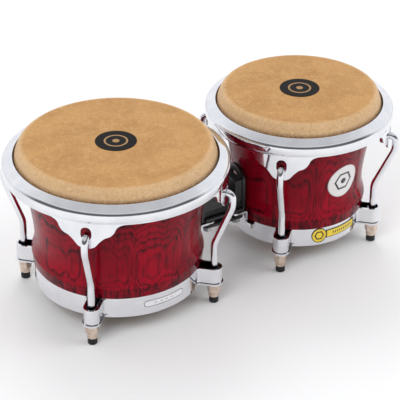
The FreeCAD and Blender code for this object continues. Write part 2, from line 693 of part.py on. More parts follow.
def nut(drum):
    """Tall tuning nut at angle 0: hexagonal above, round below, chamfered at both ends."""
    hex_z = NUT_TOP_Z - NUT_HEX_LENGTH
    corner_r = NUT_FLATS / math.sqrt(3)
    edges = chain(
        at(0, NUT_BOTTOM_Z),
        at(NUT_COLLAR_R - NUT_CHAMFER, NUT_BOTTOM_Z),
        at(NUT_COLLAR_R, NUT_BOTTOM_Z + NUT_CHAMFER),
        at(NUT_COLLAR_R, hex_z),
        at(corner_r - NUT_CHAMFER, hex_z),
        at(corner_r, hex_z + NUT_CHAMFER / 2),
        at(corner_r, NUT_TOP_Z - NUT_CHAMFER / 2),
        at(corner_r - NUT_CHAMFER, NUT_TOP_Z),
        at(0, NUT_TOP_Z),
        at(0, NUT_BOTTOM_Z),
    )
    stock = hexagon(NUT_FLATS, hex_z, NUT_TOP_Z).fuse(tube(NUT_COLLAR_R, 0, NUT_BOTTOM_Z, hex_z))
    body = stock.common(turned(edges))
    bore = Part.makeCylinder(ROD_R + THREAD_GAP, NUT_TOP_Z)
    return moved(body.cut(bore).removeSplitter(), x=drum.lug_r)


def cap(drum):
    """Rubber cap pushed onto a rod's end; the pair stands on the caps."""
    edges = chain(
        at(0, 0),
        at(CAP_R - CAP_CHAMFER, 0),
        at(CAP_R, CAP_CHAMFER),
        at(CAP_R, CAP_LENGTH),
        at(ROD_R, CAP_LENGTH),
        at(ROD_R, CAP_FLOOR),
        at(0, CAP_FLOOR),
        at(0, 0),
    )
    return moved(turned(edges), x=drum.lug_r)


def at_lugs(shape):
    """A compound of one piece at each lug."""
    return Part.makeCompound([turned_to(shape, angle) for angle in LUG_ANGLES])


# ---- Badges ----
def radial(outline, reach, angle):
    """A flat outline in the YZ plane, pushed outwards along +X and turned to its angle."""
    return turned_to(outline.extrude(Vector(reach, 0, 0)), angle)


def plate_outline(half_length, half_height, z):
    """A long plate with rounded ends, in the YZ plane."""
    flat = half_length - half_height
    edges = [
        line(Vector(0, -flat, z + half_height), Vector(0, flat, z + half_height)),
        arc(
            Vector(0, flat, z + half_height),
            Vector(0, half_length, z),
            Vector(0, flat, z - half_height),
        ),
        line(Vector(0, flat, z - half_height), Vector(0, -flat, z - half_height)),
        arc(
            Vector(0, -flat, z - half_height),
            Vector(0, -half_length, z),
            Vector(0, -flat, z + half_height),
        ),
    ]
    return face(edges)


def disc_outline(radius, z):
    return Part.Face(Part.Wire(Part.makeCircle(radius, Vector(0, 0, z), Vector(1, 0, 0))))


def plate_strip(half_length, half_height, z):
    """A plain rectangle, in the YZ plane."""
    low = Vector(0, -half_length, z - half_height)
    high = Vector(0, half_length, z + half_height)
    corners = [low, Vector(0, high.y, low.z), high, Vector(0, low.y, high.z), low]
    return Part.Face(Part.makePolygon(corners))


def shell_badge(drum):
    """Round badge that follows the shell's curve."""
    inner = shell_upper_poles(drum)
    outer = shell_upper_poles(drum, BADGE_THICKNESS)
    ends = [line(inner[0], outer[0]), line(inner[3], outer[3])]
    layer = turned([curve(*inner), curve(*outer)] + ends)
    disc = disc_outline(SHELL_BADGE_R, SHELL_BADGE_Z)
    return layer.common(radial(disc, drum.rim_r, SHELL_BADGE_ANGLE))


def ring_layer(drum):
    """The thin layer on the outside of the bottom ring that its badges are cut from."""
    return tube(drum.ring_r + BADGE_THICKNESS, drum.ring_r, RING_BOTTOM_Z, RING_TOP_Z)


def ring_plate(drum):
    """Long plain plate on the bottom ring."""
    middle_z = RING_BOTTOM_Z + RING_PLATE_RISE
    outline = plate_outline(RING_PLATE_HALF_LENGTH, RING_PLATE_HALF_HEIGHT, middle_z)
    return ring_layer(drum).common(radial(outline, drum.rim_r, RING_PLATE_ANGLE))


def ring_badge(drum):
    """Disc and strip badge on the bottom ring."""
    middle_z = RING_BOTTOM_Z + RING_BADGE_RISE
    strip = plate_strip(RING_STRIP_HALF_LENGTH, RING_STRIP_HALF_HEIGHT, middle_z)
    disc = radial(disc_outline(RING_BADGE_R, middle_z), drum.rim_r, RING_BADGE_ANGLE)
    both = disc.fuse(radial(strip, drum.rim_r, RING_STRIP_ANGLE))
    return ring_layer(drum).common(both).removeSplitter()


# ---- The block between the drums ----
def bolt_places(pair):
    """Centres of the four bolts, in plan."""
    places = []
    for drum in pair:
        x = drum.x + drum.inward * drum.bolt_r
        for y in (-BOLT_HALF_SPACING, BOLT_HALF_SPACING):
            places.append((x, y))
    return places


def at_bolts(shape, pair):
    return Part.makeCompound([moved(shape, x, y) for x, y in bolt_places(pair)])


def block_bolt():
    """Flanged hexagon bolt, head down, up through the grommet into the block."""
    head_z = TIE_BAR_Z - BOLT_FLANGE_HEIGHT
    hex_head = hexagon(BOLT_HEX_FLATS, head_z - BOLT_HEX_HEIGHT, head_z)
    flange = tube(BOLT_FLANGE_R, 0, head_z, TIE_BAR_Z)
    shank = tube(BOLT_R, 0, TIE_BAR_Z, BLOCK_Z + BOLT_REACH)
    return joined([hex_head, flange, shank])


def grommet():
    """Rubber grommet: a neck in the tab's hole and a lip on each side of the tab."""
    bore_r = BOLT_R + BOLT_GAP
    edges = chain(
        at(bore_r, GROMMET_BOTTOM_Z),
        at(GROMMET_LIP_R, GROMMET_BOTTOM_Z),
        at(GROMMET_LIP_R, TAB_FLANGE_Z),
        at(GROMMET_NECK_R, TAB_FLANGE_Z),
        at(GROMMET_NECK_R, TAB_FLANGE_Z + TAB_SHEET),
        at(GROMMET_LIP_R, TAB_FLANGE_Z + TAB_SHEET),
        at(GROMMET_LIP_R, GROMMET_TOP_Z),
        at(bore_r, GROMMET_TOP_Z),
        at(bore_r, GROMMET_BOTTOM_Z),
    )
    return turned(edges)


def tie_bars(pair):
    """Two flat bars under the tabs, each joining a hembra bolt to a macho bolt."""
    places = bolt_places(pair)
    start = places[0][0]
    finish = places[2][0]
    past = BOLT_R + TIE_BAR_END
    bars = []
    for y in (-BOLT_HALF_SPACING, BOLT_HALF_SPACING):
        bar = block(
            (start - past, finish + past),
            (y - TIE_BAR_HALF_WIDTH, y + TIE_BAR_HALF_WIDTH),
            (TIE_BAR_Z, GROMMET_BOTTOM_Z),
        )
        upright = [edge for edge in bar.Edges if abs(edge.tangentAt(0).z) > 0.99]
        bar = bar.makeFillet(TIE_BAR_HALF_WIDTH - 0.1, upright)
        for x in (start, finish):
            hole = Part.makeCylinder(BOLT_R + BOLT_GAP, SKIN_TOP_Z, Vector(x, y, 0))
            bar = bar.cut(hole)
        bars.append(bar)
    return Part.makeCompound(bars)


def shell_radius(drum, z):
    """Outer radius of the shell at a height above its waist."""
    upper = Part.BezierCurve()
    upper.setPoles(list(shell_upper_poles(drum)))
    low = 0.0
    high = 1.0
    for _ in range(40):
        middle = (low + high) / 2
        if upper.value(middle).z < z:
            low = middle
        else:
            high = middle
    return upper.value(low).x


def plate_face_x(drum):
    """Where a block plate's outer face stands."""
    return drum.x + drum.inward * drum.plate_r


def screw_levels():
    middle = BLOCK_Z + BLOCK_POCKET_BOTTOM + BLOCK_POCKET_HEIGHT / 2
    return (middle - SCREW_SPACING / 2, middle + SCREW_SPACING / 2)


def block_plate(drum):
    """Arched end plate of the block, with a round hole above and a pocket for its screws below."""
    face_x = plate_face_x(drum)
    half = BLOCK_PLATE_HALF_WIDTH
    arch_z = BLOCK_Z + BLOCK_PLATE_HEIGHT - half
    outline = face(
        [
            line(Vector(0, -half, BLOCK_Z), Vector(0, half, BLOCK_Z)),
            line(Vector(0, half, BLOCK_Z), Vector(0, half, arch_z)),
            arc(
                Vector(0, half, arch_z),
                Vector(0, 0, BLOCK_Z + BLOCK_PLATE_HEIGHT),
                Vector(0, -half, arch_z),
            ),
            line(Vector(0, -half, arch_z), Vector(0, -half, BLOCK_Z)),
        ]
    )
    plate = outline.extrude(Vector(BLOCK_PLATE, 0, 0))
    edges_in_front = []
    for edge in plate.Edges:
        middle = edge.CenterOfMass
        if middle.x < 0.01 and middle.z > BLOCK_Z + 1:
            edges_in_front.append(edge)
    plate = plate.makeFillet(BLOCK_PLATE_ROUNDING, edges_in_front)
    along_x = Vector(1, 0, 0)
    hole_centre = Vector(0, 0, arch_z + BLOCK_HOLE_RISE)
    plate = plate.cut(Part.makeCylinder(BLOCK_HOLE_R, BLOCK_PLATE, hole_centre, along_x))
    pocket_z = BLOCK_Z + BLOCK_POCKET_BOTTOM
    pocket = block(
        (0, BLOCK_POCKET_DEPTH),
        (-BLOCK_POCKET_HALF_WIDTH, BLOCK_POCKET_HALF_WIDTH),
        (pocket_z, pocket_z + BLOCK_POCKET_HEIGHT),
    )
    corners = [edge for edge in pocket.Edges if abs(edge.tangentAt(0).x) > 0.99]
    pocket = pocket.makeFillet(BLOCK_POCKET_ROUNDING, corners)
    plate = plate.cut(pocket)
    for z in screw_levels():
        hole = Part.makeCylinder(SCREW_R + BOLT_GAP, BLOCK_PLATE, Vector(0, 0, z), along_x)
        plate = plate.cut(hole)
    if drum.inward < 0:
        plate = turned_to(plate, 180)
    return moved(plate, x=face_x)


def plate_screws(pair):
    """Button-headed screws in the plates' pockets, into the block's body."""
    screws = []
    along_x = Vector(1, 0, 0)
    for drum in pair:
        for z in screw_levels():
            floor = BLOCK_POCKET_DEPTH
            top = Vector(floor - SCREW_HEAD_HEIGHT, 0, z)
            head = Part.makeCone(SCREW_HEAD_TOP_R, SCREW_HEAD_R, SCREW_HEAD_HEIGHT, top, along_x)
            shank = Part.makeCylinder(SCREW_R, SCREW_LENGTH, Vector(floor, 0, z), along_x)
            screw = joined([head, shank])
            if drum.inward < 0:
                screw = turned_to(screw, 180)
            screws.append(moved(screw, x=plate_face_x(drum)))
    return Part.makeCompound(screws)


def block_body(pair):
    """Body of the block: a rail on the grommets, a housing above it, and a window open at the top."""
    hembra, macho = pair
    left = plate_face_x(hembra) + BLOCK_PLATE
    right = plate_face_x(macho) - BLOCK_PLATE
    rail = block(
        (left, right), (-RAIL_HALF_WIDTH, RAIL_HALF_WIDTH), (BLOCK_Z, BLOCK_Z + RAIL_HEIGHT)
    )
    long_edges = [edge for edge in rail.Edges if abs(edge.tangentAt(0).x) > 0.99]
    rail = rail.makeFillet(RAIL_ROUNDING, long_edges)
    housing = block(
        (left, right), (-BODY_HALF_WIDTH, BODY_HALF_WIDTH), (BLOCK_Z + 1, BLOCK_Z + BODY_HEIGHT)
    )
    top_edges = []
    for edge in housing.Edges:
        if abs(edge.tangentAt(0).x) > 0.99 and edge.CenterOfMass.z > BLOCK_Z + BODY_HEIGHT - 1:
            top_edges.append(edge)
    housing = housing.makeFillet(BODY_ROUNDING, top_edges)
    body = joined([rail, housing])
    window = block(
        (left + WINDOW_COLUMN, right - WINDOW_COLUMN),
        (-RAIL_HALF_WIDTH, RAIL_HALF_WIDTH),
        (BLOCK_Z + WINDOW_SILL, BLOCK_Z + BODY_HEIGHT + 1),
    )
    body = body.cut(window)
    for level in GROOVE_LEVELS:
        low = BLOCK_Z + level
        for side in (-1, 1):
            near = side * (BODY_HALF_WIDTH - GROOVE_DEPTH)
            far = side * (BODY_HALF_WIDTH + 1)
            span = (min(near, far), max(near, far))
            body = body.cut(block((left, right), span, (low, low + GROOVE_HEIGHT)))
    for x, y in bolt_places(pair):
        hole = Part.makeCylinder(BOLT_R + THREAD_GAP, BOLT_REACH, Vector(x, y, BLOCK_Z))
        body = body.cut(hole)
    screw_room = SCREW_LENGTH - (BLOCK_PLATE - BLOCK_POCKET_DEPTH)
    along_x = Vector(1, 0, 0)
    for z in screw_levels():
        for start in (left, right - screw_room):
            hole = Part.makeCylinder(SCREW_R + THREAD_GAP, screw_room, Vector(start, 0, z), along_x)
            body = body.cut(hole)
    return body


# ---- Every node ----
def drum_nodes(drum):
    """Each of one drum's pieces by its node name, still round the Z axis."""
    pieces = {
        "shell": shell(drum),
        "bottom_ring": bottom_ring(drum),
        "skin": skin(drum),
        "flesh_hoop": flesh_hoop(drum),
        "head_patch": head_patch(drum),
        "rim": rim(drum),
        "washers": at_lugs(washer(drum)),
        "rubber_caps": at_lugs(cap(drum)),
    }
    one_rod = rod(drum)
    one_nut = nut(drum)
    for number, angle in enumerate(LUG_ANGLES, start=1):
        pieces[f"tension_rod_{number}"] = turned_to(one_rod, angle)
        pieces[f"tuning_nut_{number}"] = turned_to(one_nut, angle)
    if drum.name == "hembra":
        pieces["ring_plate"] = ring_plate(drum)
    else:
        pieces["shell_badge"] = shell_badge(drum)
        pieces["ring_badge"] = ring_badge(drum)
    return {f"{drum.name}_{name}": moved(shape, x=drum.x) for name, shape in pieces.items()}


def block_nodes(pair):
    """Each piece of the block between the drums, by its node name."""
    hembra, macho = pair
    return {
        "block_body": block_body(pair),
        "hembra_block_plate": block_plate(hembra),
        "macho_block_plate": block_plate(macho),
        "block_plate_screws": plate_screws(pair),
        "block_tie_bars": tie_bars(pair),
        "block_grommets": at_bolts(grommet(), pair),
        "block_bolts": at_bolts(block_bolt(), pair),
    }


def main():
    os.makedirs("parts", exist_ok=True)
    pair = drums()
    nodes = {}
    for drum in pair:
        nodes.update(drum_nodes(drum))
    nodes.update(block_nodes(pair))
    for name, shape in nodes.items():
        for solid in shape.Solids:
            if not solid.isValid() or solid.Volume <= 0:
                raise ValueError(f"{name} holds a solid that is not sound")
        shape.exportStep(f"parts/{name}.step")
        box = shape.BoundBox
        size = f"{len(shape.Solids)} solids, {shape.Volume / 1000:.2f} cm3"
        print(f"{name:24s} {size}, z {box.ZMin:.1f} to {box.ZMax:.1f}")


main()
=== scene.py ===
import bisect
import json
import math

import bpy
from mathutils import Matrix, Vector

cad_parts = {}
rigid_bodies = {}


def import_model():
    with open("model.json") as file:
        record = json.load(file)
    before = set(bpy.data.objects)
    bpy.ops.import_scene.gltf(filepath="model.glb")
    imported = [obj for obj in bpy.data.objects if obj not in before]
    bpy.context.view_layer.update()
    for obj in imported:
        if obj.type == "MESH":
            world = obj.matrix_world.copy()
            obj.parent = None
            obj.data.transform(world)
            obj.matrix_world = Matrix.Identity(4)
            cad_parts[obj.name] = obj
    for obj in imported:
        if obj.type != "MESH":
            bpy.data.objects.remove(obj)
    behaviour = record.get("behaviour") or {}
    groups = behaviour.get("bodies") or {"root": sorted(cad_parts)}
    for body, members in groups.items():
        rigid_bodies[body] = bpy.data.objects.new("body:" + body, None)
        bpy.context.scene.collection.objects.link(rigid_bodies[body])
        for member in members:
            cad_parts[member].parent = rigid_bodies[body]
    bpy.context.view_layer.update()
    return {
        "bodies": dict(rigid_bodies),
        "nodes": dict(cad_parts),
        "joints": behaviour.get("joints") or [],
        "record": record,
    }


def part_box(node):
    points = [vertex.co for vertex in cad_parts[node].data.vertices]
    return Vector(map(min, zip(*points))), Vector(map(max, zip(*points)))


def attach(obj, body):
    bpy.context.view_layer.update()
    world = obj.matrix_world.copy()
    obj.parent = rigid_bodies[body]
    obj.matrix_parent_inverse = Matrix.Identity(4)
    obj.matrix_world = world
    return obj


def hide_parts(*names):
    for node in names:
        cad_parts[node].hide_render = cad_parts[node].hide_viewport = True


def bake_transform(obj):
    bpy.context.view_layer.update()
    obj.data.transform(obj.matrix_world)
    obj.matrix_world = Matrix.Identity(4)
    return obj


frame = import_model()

ROOT = "shells_and_block"
MM = 0.001

# ---- Sizes, in millimetres, as in the part ----
RING_TOP_Z, RING_WALL = 48.6, 2.0
LIP_TOP_Z = 26.5
CREASE_Z, WAIST_Z = 62.5, 82.0
BEARING_Z, SKIN_TOP_Z = 193.2, 195.0
SHELL_WALL = 9.0
FOOT_STEP = 1.6              # the shell's foot stands back this far from its bulge
EDGE_R = 5.0                 # outer rounding of the bearing edge
EDGE_FLAT = 2.5              # level part of the bearing edge
EDGE_SLOPE = 4.5             # inner chamfer of the bearing edge
RIM_OUT = 20.8
RIM_LIP_Z, RIM_WIDEST_Z = 181.0, 171.4
RIM_FACE_Z, SKIRT_Z = 163.2, 162.0
LIP_WIDTH, SHOULDER_R, SHEET, TUCK = 12.6, 7.0, 2.4, 1.7
EAR_END, EAR_DEPTH = 46.0, 30.8
EAR_HALF = (                 # half of an ear's edge: distance from the lug, and depth below the skirt's edge
    (0.0, EAR_DEPTH), (9.0, 28.4), (15.0, 21.6), (20.0, 17.2), (26.5, 14.2),
    (30.5, 9.8), (33.0, 4.6), (38.5, 0.9), (EAR_END, 0.0),
)
SLOT_SEAT_Z, SLOT_HEIGHT, SLOT_HALF = 141.2, 16.0, 6.0
LUG_ANGLES = (225.0, 315.0, 45.0, 135.0)
LUG_OUT = 17.0
ROD_R, ROD_END_Z = 4.0, 2.2
ROD_BEND_R, HOOK_BEND_R = 26.0, 7.5
ROD_BEND_RISE, ROD_SLANT_RISE = 28.9, 50.5
HOOK_GAP, HOOK_OUT = 0.1, 0.6
HIDE_FLAT_IN = 3.4           # the hide starts to turn over the edge this far inside the shell's outside
HIDE_TURN, HIDE_TURN_INSIDE = 5.7, 4.8
COLLAR_LEAN, COLLAR_LEAN_DROP = 2.8, 7.0
COLLAR_OUT, COLLAR_DROP = 6.4, 15.4
HOOP_IN, WRAP_R = 3.0, 4.6   # the flesh hoop's place behind the lip, and the hide's outside round it
SHELL_BADGE_ANGLE, SHELL_BADGE_Z = -83.0, 106.0
SHELL_R_AT_BADGE = 79.0
RING_PLATE_ANGLE, RING_PLATE_Z = -87.0, 38.0
RING_BADGE_Z, RING_DISC_ANGLE, RING_STRIP_ANGLE = 37.3, -103.3, -79.3

# ---- The meshes' own values ----
SLOT_FADE = 10.0             # the skirt's rows come level with the slot's ends over this distance
ROUNDING = 1e-6


class Drum:
    """One drum's sizes in millimetres, with its centre taken from the frame."""

    def __init__(self, name, head_r, waist_r, bulge_r, ring_r):
        low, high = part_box(f"{name}_skin")
        self.name = name
        self.x = (low.x + high.x) / 2 / MM
        self.head_r = head_r
        self.waist_r = waist_r
        self.bulge_r = bulge_r
        self.ring_r = ring_r
        self.rim_r = head_r + RIM_OUT
        self.skirt_r = self.rim_r - TUCK
        self.lug_r = ring_r + LUG_OUT
        self.head = f"{name}_head"


DRUMS = (Drum("hembra", 107.2, 94.5, 98.6, 95.9), Drum("macho", 90.4, 78.2, 82.2, 76.9))


# ---- Mesh helpers: millimetres in, metres in the mesh ----
def mesh_object(name, verts, faces, materials, sharp):
    """An object of this mesh, smooth, with its materials in order."""
    mesh = bpy.data.meshes.new(name)
    mesh.from_pydata([Vector(v) * MM for v in verts], [], faces)
    mesh.validate()
    obj = bpy.data.objects.new(name, mesh)
    bpy.context.scene.collection.objects.link(obj)
    finish_mesh(obj, sharp)
    for material in materials:
        mesh.materials.append(material)
    return obj


def finish_mesh(obj, sharp):
    """Smooth shading, with creases where faces meet at more than the sharp angle."""
    for polygon in obj.data.polygons:
        polygon.use_smooth = True
    obj.data.set_sharp_from_angle(angle=math.radians(sharp))


def apply_modifiers(obj, sharp):
    """The object's mesh becomes what its modifiers make of it."""
    graph = bpy.context.evaluated_depsgraph_get()
    mesh = bpy.data.meshes.new_from_object(obj.evaluated_get(graph))
    obj.modifiers.clear()
    obj.data = mesh
    finish_mesh(obj, sharp)


def bevel(obj, width, segments, angle):
    """Round the edges that turn by more than angle degrees, by width mm."""
    modifier = obj.modifiers.new("edges", "BEVEL")
    modifier.width = width * MM
    modifier.segments = segments
    modifier.limit_method = "ANGLE"
    modifier.angle_limit = math.radians(angle)
    apply_modifiers(obj, 60.0)


def turned_grid(profile, x, steps, closed=False):
    """Vertices and quads of a profile of (radius, z) turned round the axis at x."""
    verts, faces = [], []
    count = len(profile)
    for i in range(steps):
        a = 2 * math.pi * i / steps
        for r, z in profile:
            verts.append((x + r * math.cos(a), r * math.sin(a), z))
    rows = count if closed else count - 1
    for i in range(steps):
        here = i * count
        ahead = (i + 1) % steps * count
        for k in range(rows):
            m = (k + 1) % count
            faces.append((here + k, ahead + k, ahead + m, here + m))
    return verts, faces


def bezier(p0, p1, p2, p3, steps):
    """Points of a cubic curve."""
    out = []
    for i in range(steps + 1):
        t = i / steps
        s = 1 - t
        out.append(tuple(
            s**3 * a + 3 * s * s * t * b + 3 * s * t * t * c + t**3 * d
            for a, b, c, d in zip(p0, p1, p2, p3)
        ))
    return out


def arc(centre, radius, start, end, steps):
    """Points of an arc between two angles in degrees."""
    out = []
    for i in range(steps + 1):
        a = math.radians(start + (end - start) * i / steps)
        out.append((centre[0] + radius * math.cos(a), centre[1] + radius * math.sin(a)))
    return out


# ---- Material helpers ----
class Field:
    """A number that shader nodes work out at each point of a surface."""

    def __init__(self, tree, socket):
        self.tree = tree
        self.socket = socket

    def op(self, name, *others):
        """A math node's result for this field and the others, which may be plain numbers."""
        node = self.tree.nodes.new("ShaderNodeMath")
        node.operation = name
        for index, value in enumerate((self,) + others):
            if isinstance(value, Field):
                self.tree.links.new(value.socket, node.inputs[index])
            else:
                node.inputs[index].default_value = value
        return Field(self.tree, node.outputs[0])

    def __add__(self, other):
        return self.op("ADD", other)

    def __sub__(self, other):
        return self.op("SUBTRACT", other)

    def __mul__(self, other):
        return self.op("MULTIPLY", other)

    __rmul__ = __mul__

    def __truediv__(self, other):
        return self.op("DIVIDE", other)

    def step(self, low, high):
        """0 below low, 1 above high, smooth between; high may be below low."""
        node = self.tree.nodes.new("ShaderNodeMapRange")
        node.interpolation_type = "SMOOTHSTEP"
        self.tree.links.new(self.socket, node.inputs["Value"])
        node.inputs["From Min"].default_value = min(low, high)
        node.inputs["From Max"].default_value = max(low, high)
        node.inputs["To Min"].default_value = 0.0 if low < high else 1.0
        node.inputs["To Max"].default_value = 1.0 if low < high else 0.0
        return Field(self.tree, node.outputs["Result"])


class Paint:
    """A material with a Principled shader, and the fields that its finish is made from."""

    def __init__(self, name, **values):
        self.material = bpy.data.materials.new(name)
        self.material.use_nodes = True
        self.tree = self.material.node_tree
        self.shader = self.tree.nodes["Principled BSDF"]
        self.set(**values)
        coords = self.tree.nodes.new("ShaderNodeTexCoord")
        split = self.tree.nodes.new("ShaderNodeSeparateXYZ")
        self.tree.links.new(coords.outputs["Object"], split.inputs[0])
        self.x, self.y, self.z = (Field(self.tree, split.outputs[i]) * (1 / MM) for i in range(3))

    def set(self, **values):
        for key, value in values.items():
            self.shader.inputs[key.replace("_", " ")].default_value = value

    def round_axis(self, drum):
        """X from the drum's axis, and the distance from that axis."""
        x = self.x - drum.x
        return x, (x * x + self.y * self.y).op("SQRT")

    def vector(self, x, y, z):
        """A vector of three fields or numbers."""
        node = self.tree.nodes.new("ShaderNodeCombineXYZ")
        for index, value in enumerate((x, y, z)):
            if isinstance(value, Field):
                self.tree.links.new(value.socket, node.inputs[index])
            else:
                node.inputs[index].default_value = value
        return node.outputs[0]

    def noise(self, x, y, z, detail=3.0, rough=0.5, distort=0.0):
        """Noise from 0 to 1, about 0.5."""
        node = self.tree.nodes.new("ShaderNodeTexNoise")
        node.inputs["Scale"].default_value = 1.0
        node.inputs["Detail"].default_value = detail
        node.inputs["Roughness"].default_value = rough
        node.inputs["Distortion"].default_value = distort
        self.tree.links.new(self.vector(x, y, z), node.inputs["Vector"])
        return Field(self.tree, node.outputs["Fac"])

    def randoms(self, key):
        """Three random numbers from 0 to 1 for each value of key."""
        node = self.tree.nodes.new("ShaderNodeTexWhiteNoise")
        node.noise_dimensions = "1D"
        self.tree.links.new(key.socket, node.inputs["W"])
        split = self.tree.nodes.new("ShaderNodeSeparateXYZ")
        self.tree.links.new(node.outputs["Color"], split.inputs[0])
        return [Field(self.tree, split.outputs[i]) for i in range(3)]

    def mix(self, factor, a, b):
        """Colour a where factor is 0, and b where it is 1."""
        node = self.tree.nodes.new("ShaderNodeMix")
        node.data_type = "RGBA"
        self.tree.links.new(factor.socket, node.inputs["Factor"])
        for socket, value in ((node.inputs[6], a), (node.inputs[7], b)):
            if isinstance(value, tuple):
                socket.default_value = (*value, 1.0)
            else:
                self.tree.links.new(value, socket)
        return node.outputs[2]

    def colour(self, socket):
        self.tree.links.new(socket, self.shader.inputs["Base Color"])

    def rough(self, field):
        self.tree.links.new(field.socket, self.shader.inputs["Roughness"])

    def bump(self, height, depth):
        """Relief of depth mm for heights from 0 to 1."""
        node = self.tree.nodes.new("ShaderNodeBump")
        node.inputs["Strength"].default_value = 1.0
        node.inputs["Distance"].default_value = depth * MM
        self.tree.links.new(height.socket, node.inputs["Height"])
        self.tree.links.new(node.outputs["Normal"], self.shader.inputs["Normal"])


def linear(r, g, b):
    """Linear colour from 0 to 255 display values."""
    out = []
    for value in (r, g, b):
        v = value / 255
        out.append(v / 12.92 if v <= 0.04045 else ((v + 0.055) / 1.055) ** 2.4)
    return tuple(out)


def chrome_paint():
    """Bright chrome, a little hazy and wiped."""
    paint = Paint("chrome", Metallic=1.0)
    haze = paint.noise(paint.x * 0.05, paint.y * 0.05, paint.z * 0.05, 4.0)
    wipe = paint.noise(paint.x * 0.9, paint.y * 0.9, paint.z * 0.3, 2.0)
    paint.colour(paint.mix(haze.step(0.3, 0.7), linear(226, 227, 232), linear(236, 237, 240)))
    paint.rough(haze.step(0.35, 0.75) * 0.03 + wipe.step(0.5, 0.8) * 0.015 + 0.045)
    paint.bump(haze, 0.08)
    return paint.material


def nickel_paint():
    """Warm nickel of the tuning nuts, with fine turning marks."""
    paint = Paint("champagne_nickel", Metallic=1.0)
    turning = paint.noise(paint.x * 0.15, paint.y * 0.15, paint.z * 6.0, 2.0)
    tone = paint.noise(paint.x * 0.2, paint.y * 0.2, paint.z * 0.2, 3.0)
    paint.colour(paint.mix(tone.step(0.3, 0.7), linear(205, 184, 166), linear(228, 210, 196)))
    paint.rough(turning * 0.15 + 0.2)
    paint.bump(turning, 0.03)
    return paint.material


def steel_paint():
    """Zinc-plated steel of the screws, the bolts and the flesh hoops."""
    paint = Paint("zinc_steel", Metallic=1.0)
    tone = paint.noise(paint.x * 0.3, paint.y * 0.3, paint.z * 0.3, 4.0)
    paint.colour(paint.mix(tone.step(0.3, 0.7), linear(176, 178, 182), linear(205, 206, 208)))
    paint.rough(tone * 0.2 + 0.22)
    paint.bump(tone, 0.04)
    return paint.material


def rubber_paint():
    """Dusty black rubber of the caps and grommets."""
    paint = Paint("rubber_black")
    grain = paint.noise(paint.x * 1.5, paint.y * 1.5, paint.z * 1.5, 4.0)
    dust = paint.noise(paint.x * 0.12, paint.y * 0.12, paint.z * 0.25, 3.0)
    paint.colour(paint.mix(dust.step(0.4, 0.8), linear(16, 16, 17), linear(34, 33, 33)))
    paint.rough(grain * 0.2 + 0.5)
    paint.bump(grain, 0.08)
    return paint.material


def block_paint():
    """Satin black paint of the block, its end plates and its tie bars."""
    paint = Paint("satin_black", Coat_Weight=0.3, Coat_Roughness=0.25)
    peel = paint.noise(paint.x * 0.9, paint.y * 0.9, paint.z * 0.9, 2.0)
    tone = paint.noise(paint.x * 0.06, paint.y * 0.06, paint.z * 0.06, 3.0)
    paint.colour(paint.mix(tone.step(0.3, 0.7), linear(13, 13, 15), linear(27, 28, 31)))
    paint.rough(tone * 0.15 + 0.25)
    paint.bump(peel, 0.05)
    return paint.material


def hide_paint(drum):
    """Buffalo hide: tan, mottled, with short fibres, with a painted highlight on the shoulder where it turns
    over the edge, and painted shade below the rim's lip.
    """
    paint = Paint(f"hide_{drum.name}", Specular_IOR_Level=0.22)
    x, radius = paint.round_axis(drum)
    y, z = paint.y, paint.z
    cloud = paint.noise(x * 0.022, y * 0.03, z * 0.018, 4.0, 0.6, 0.3)
    mottle = paint.noise(x * 0.16, y * 0.12, z * 0.1, 6.0, 0.72, 0.4)
    fibre = paint.noise(x * 0.75 + y * 0.2, y * 1.1 - x * 0.15, z * 0.35, 4.0, 0.65, 1.0)
    grain = paint.noise(x * 0.32, y * 0.4, z * 0.3, 5.0, 0.75, 0.6)
    speck = paint.noise(x * 1.5, y * 1.5, z * 1.5, 2.0, 0.6)
    tan = paint.mix(cloud.step(0.35, 0.65), linear(198, 150, 89), linear(182, 133, 76))
    tan = paint.mix(mottle.step(0.45, 0.7) * 0.6, tan, linear(208, 166, 112))
    tan = paint.mix(grain.step(0.5, 0.3) * 0.5, tan, linear(212, 172, 122))
    tan = paint.mix(fibre.step(0.48, 0.7) * 0.6, tan, linear(142, 98, 56))
    tan = paint.mix(grain.step(0.55, 0.75) * 0.5, tan, linear(132, 90, 50))
    tan = paint.mix(speck.step(0.62, 0.8) * 0.3, tan, linear(136, 94, 56))
    # Painted highlight: the shoulder is lightened all round the head, broken up by the grain.
    shoulder = radius.step(drum.head_r - 6.0, drum.head_r + 1.0)
    wear_and_painted_highlight = shoulder * (grain.step(0.75, 0.3) * 0.45 + 0.4)
    tan = paint.mix(wear_and_painted_highlight * 0.85, tan, linear(230, 198, 158))
    # Painted shade: the hide darkens below the lip's level, next to the rim, broken up by the fibres.
    low = z.step(SKIN_TOP_Z - 9.0, SKIN_TOP_Z - 15.0)
    tan = paint.mix(low * (fibre.step(0.4, 0.6) * 0.5 + 0.4), tan, linear(104, 70, 46))
    paint.colour(tan)
    paint.rough(mottle * 0.2 + 0.42)
    paint.bump(fibre * 0.5 + speck * 0.3 + mottle * 0.5, 0.3)
    return paint.material


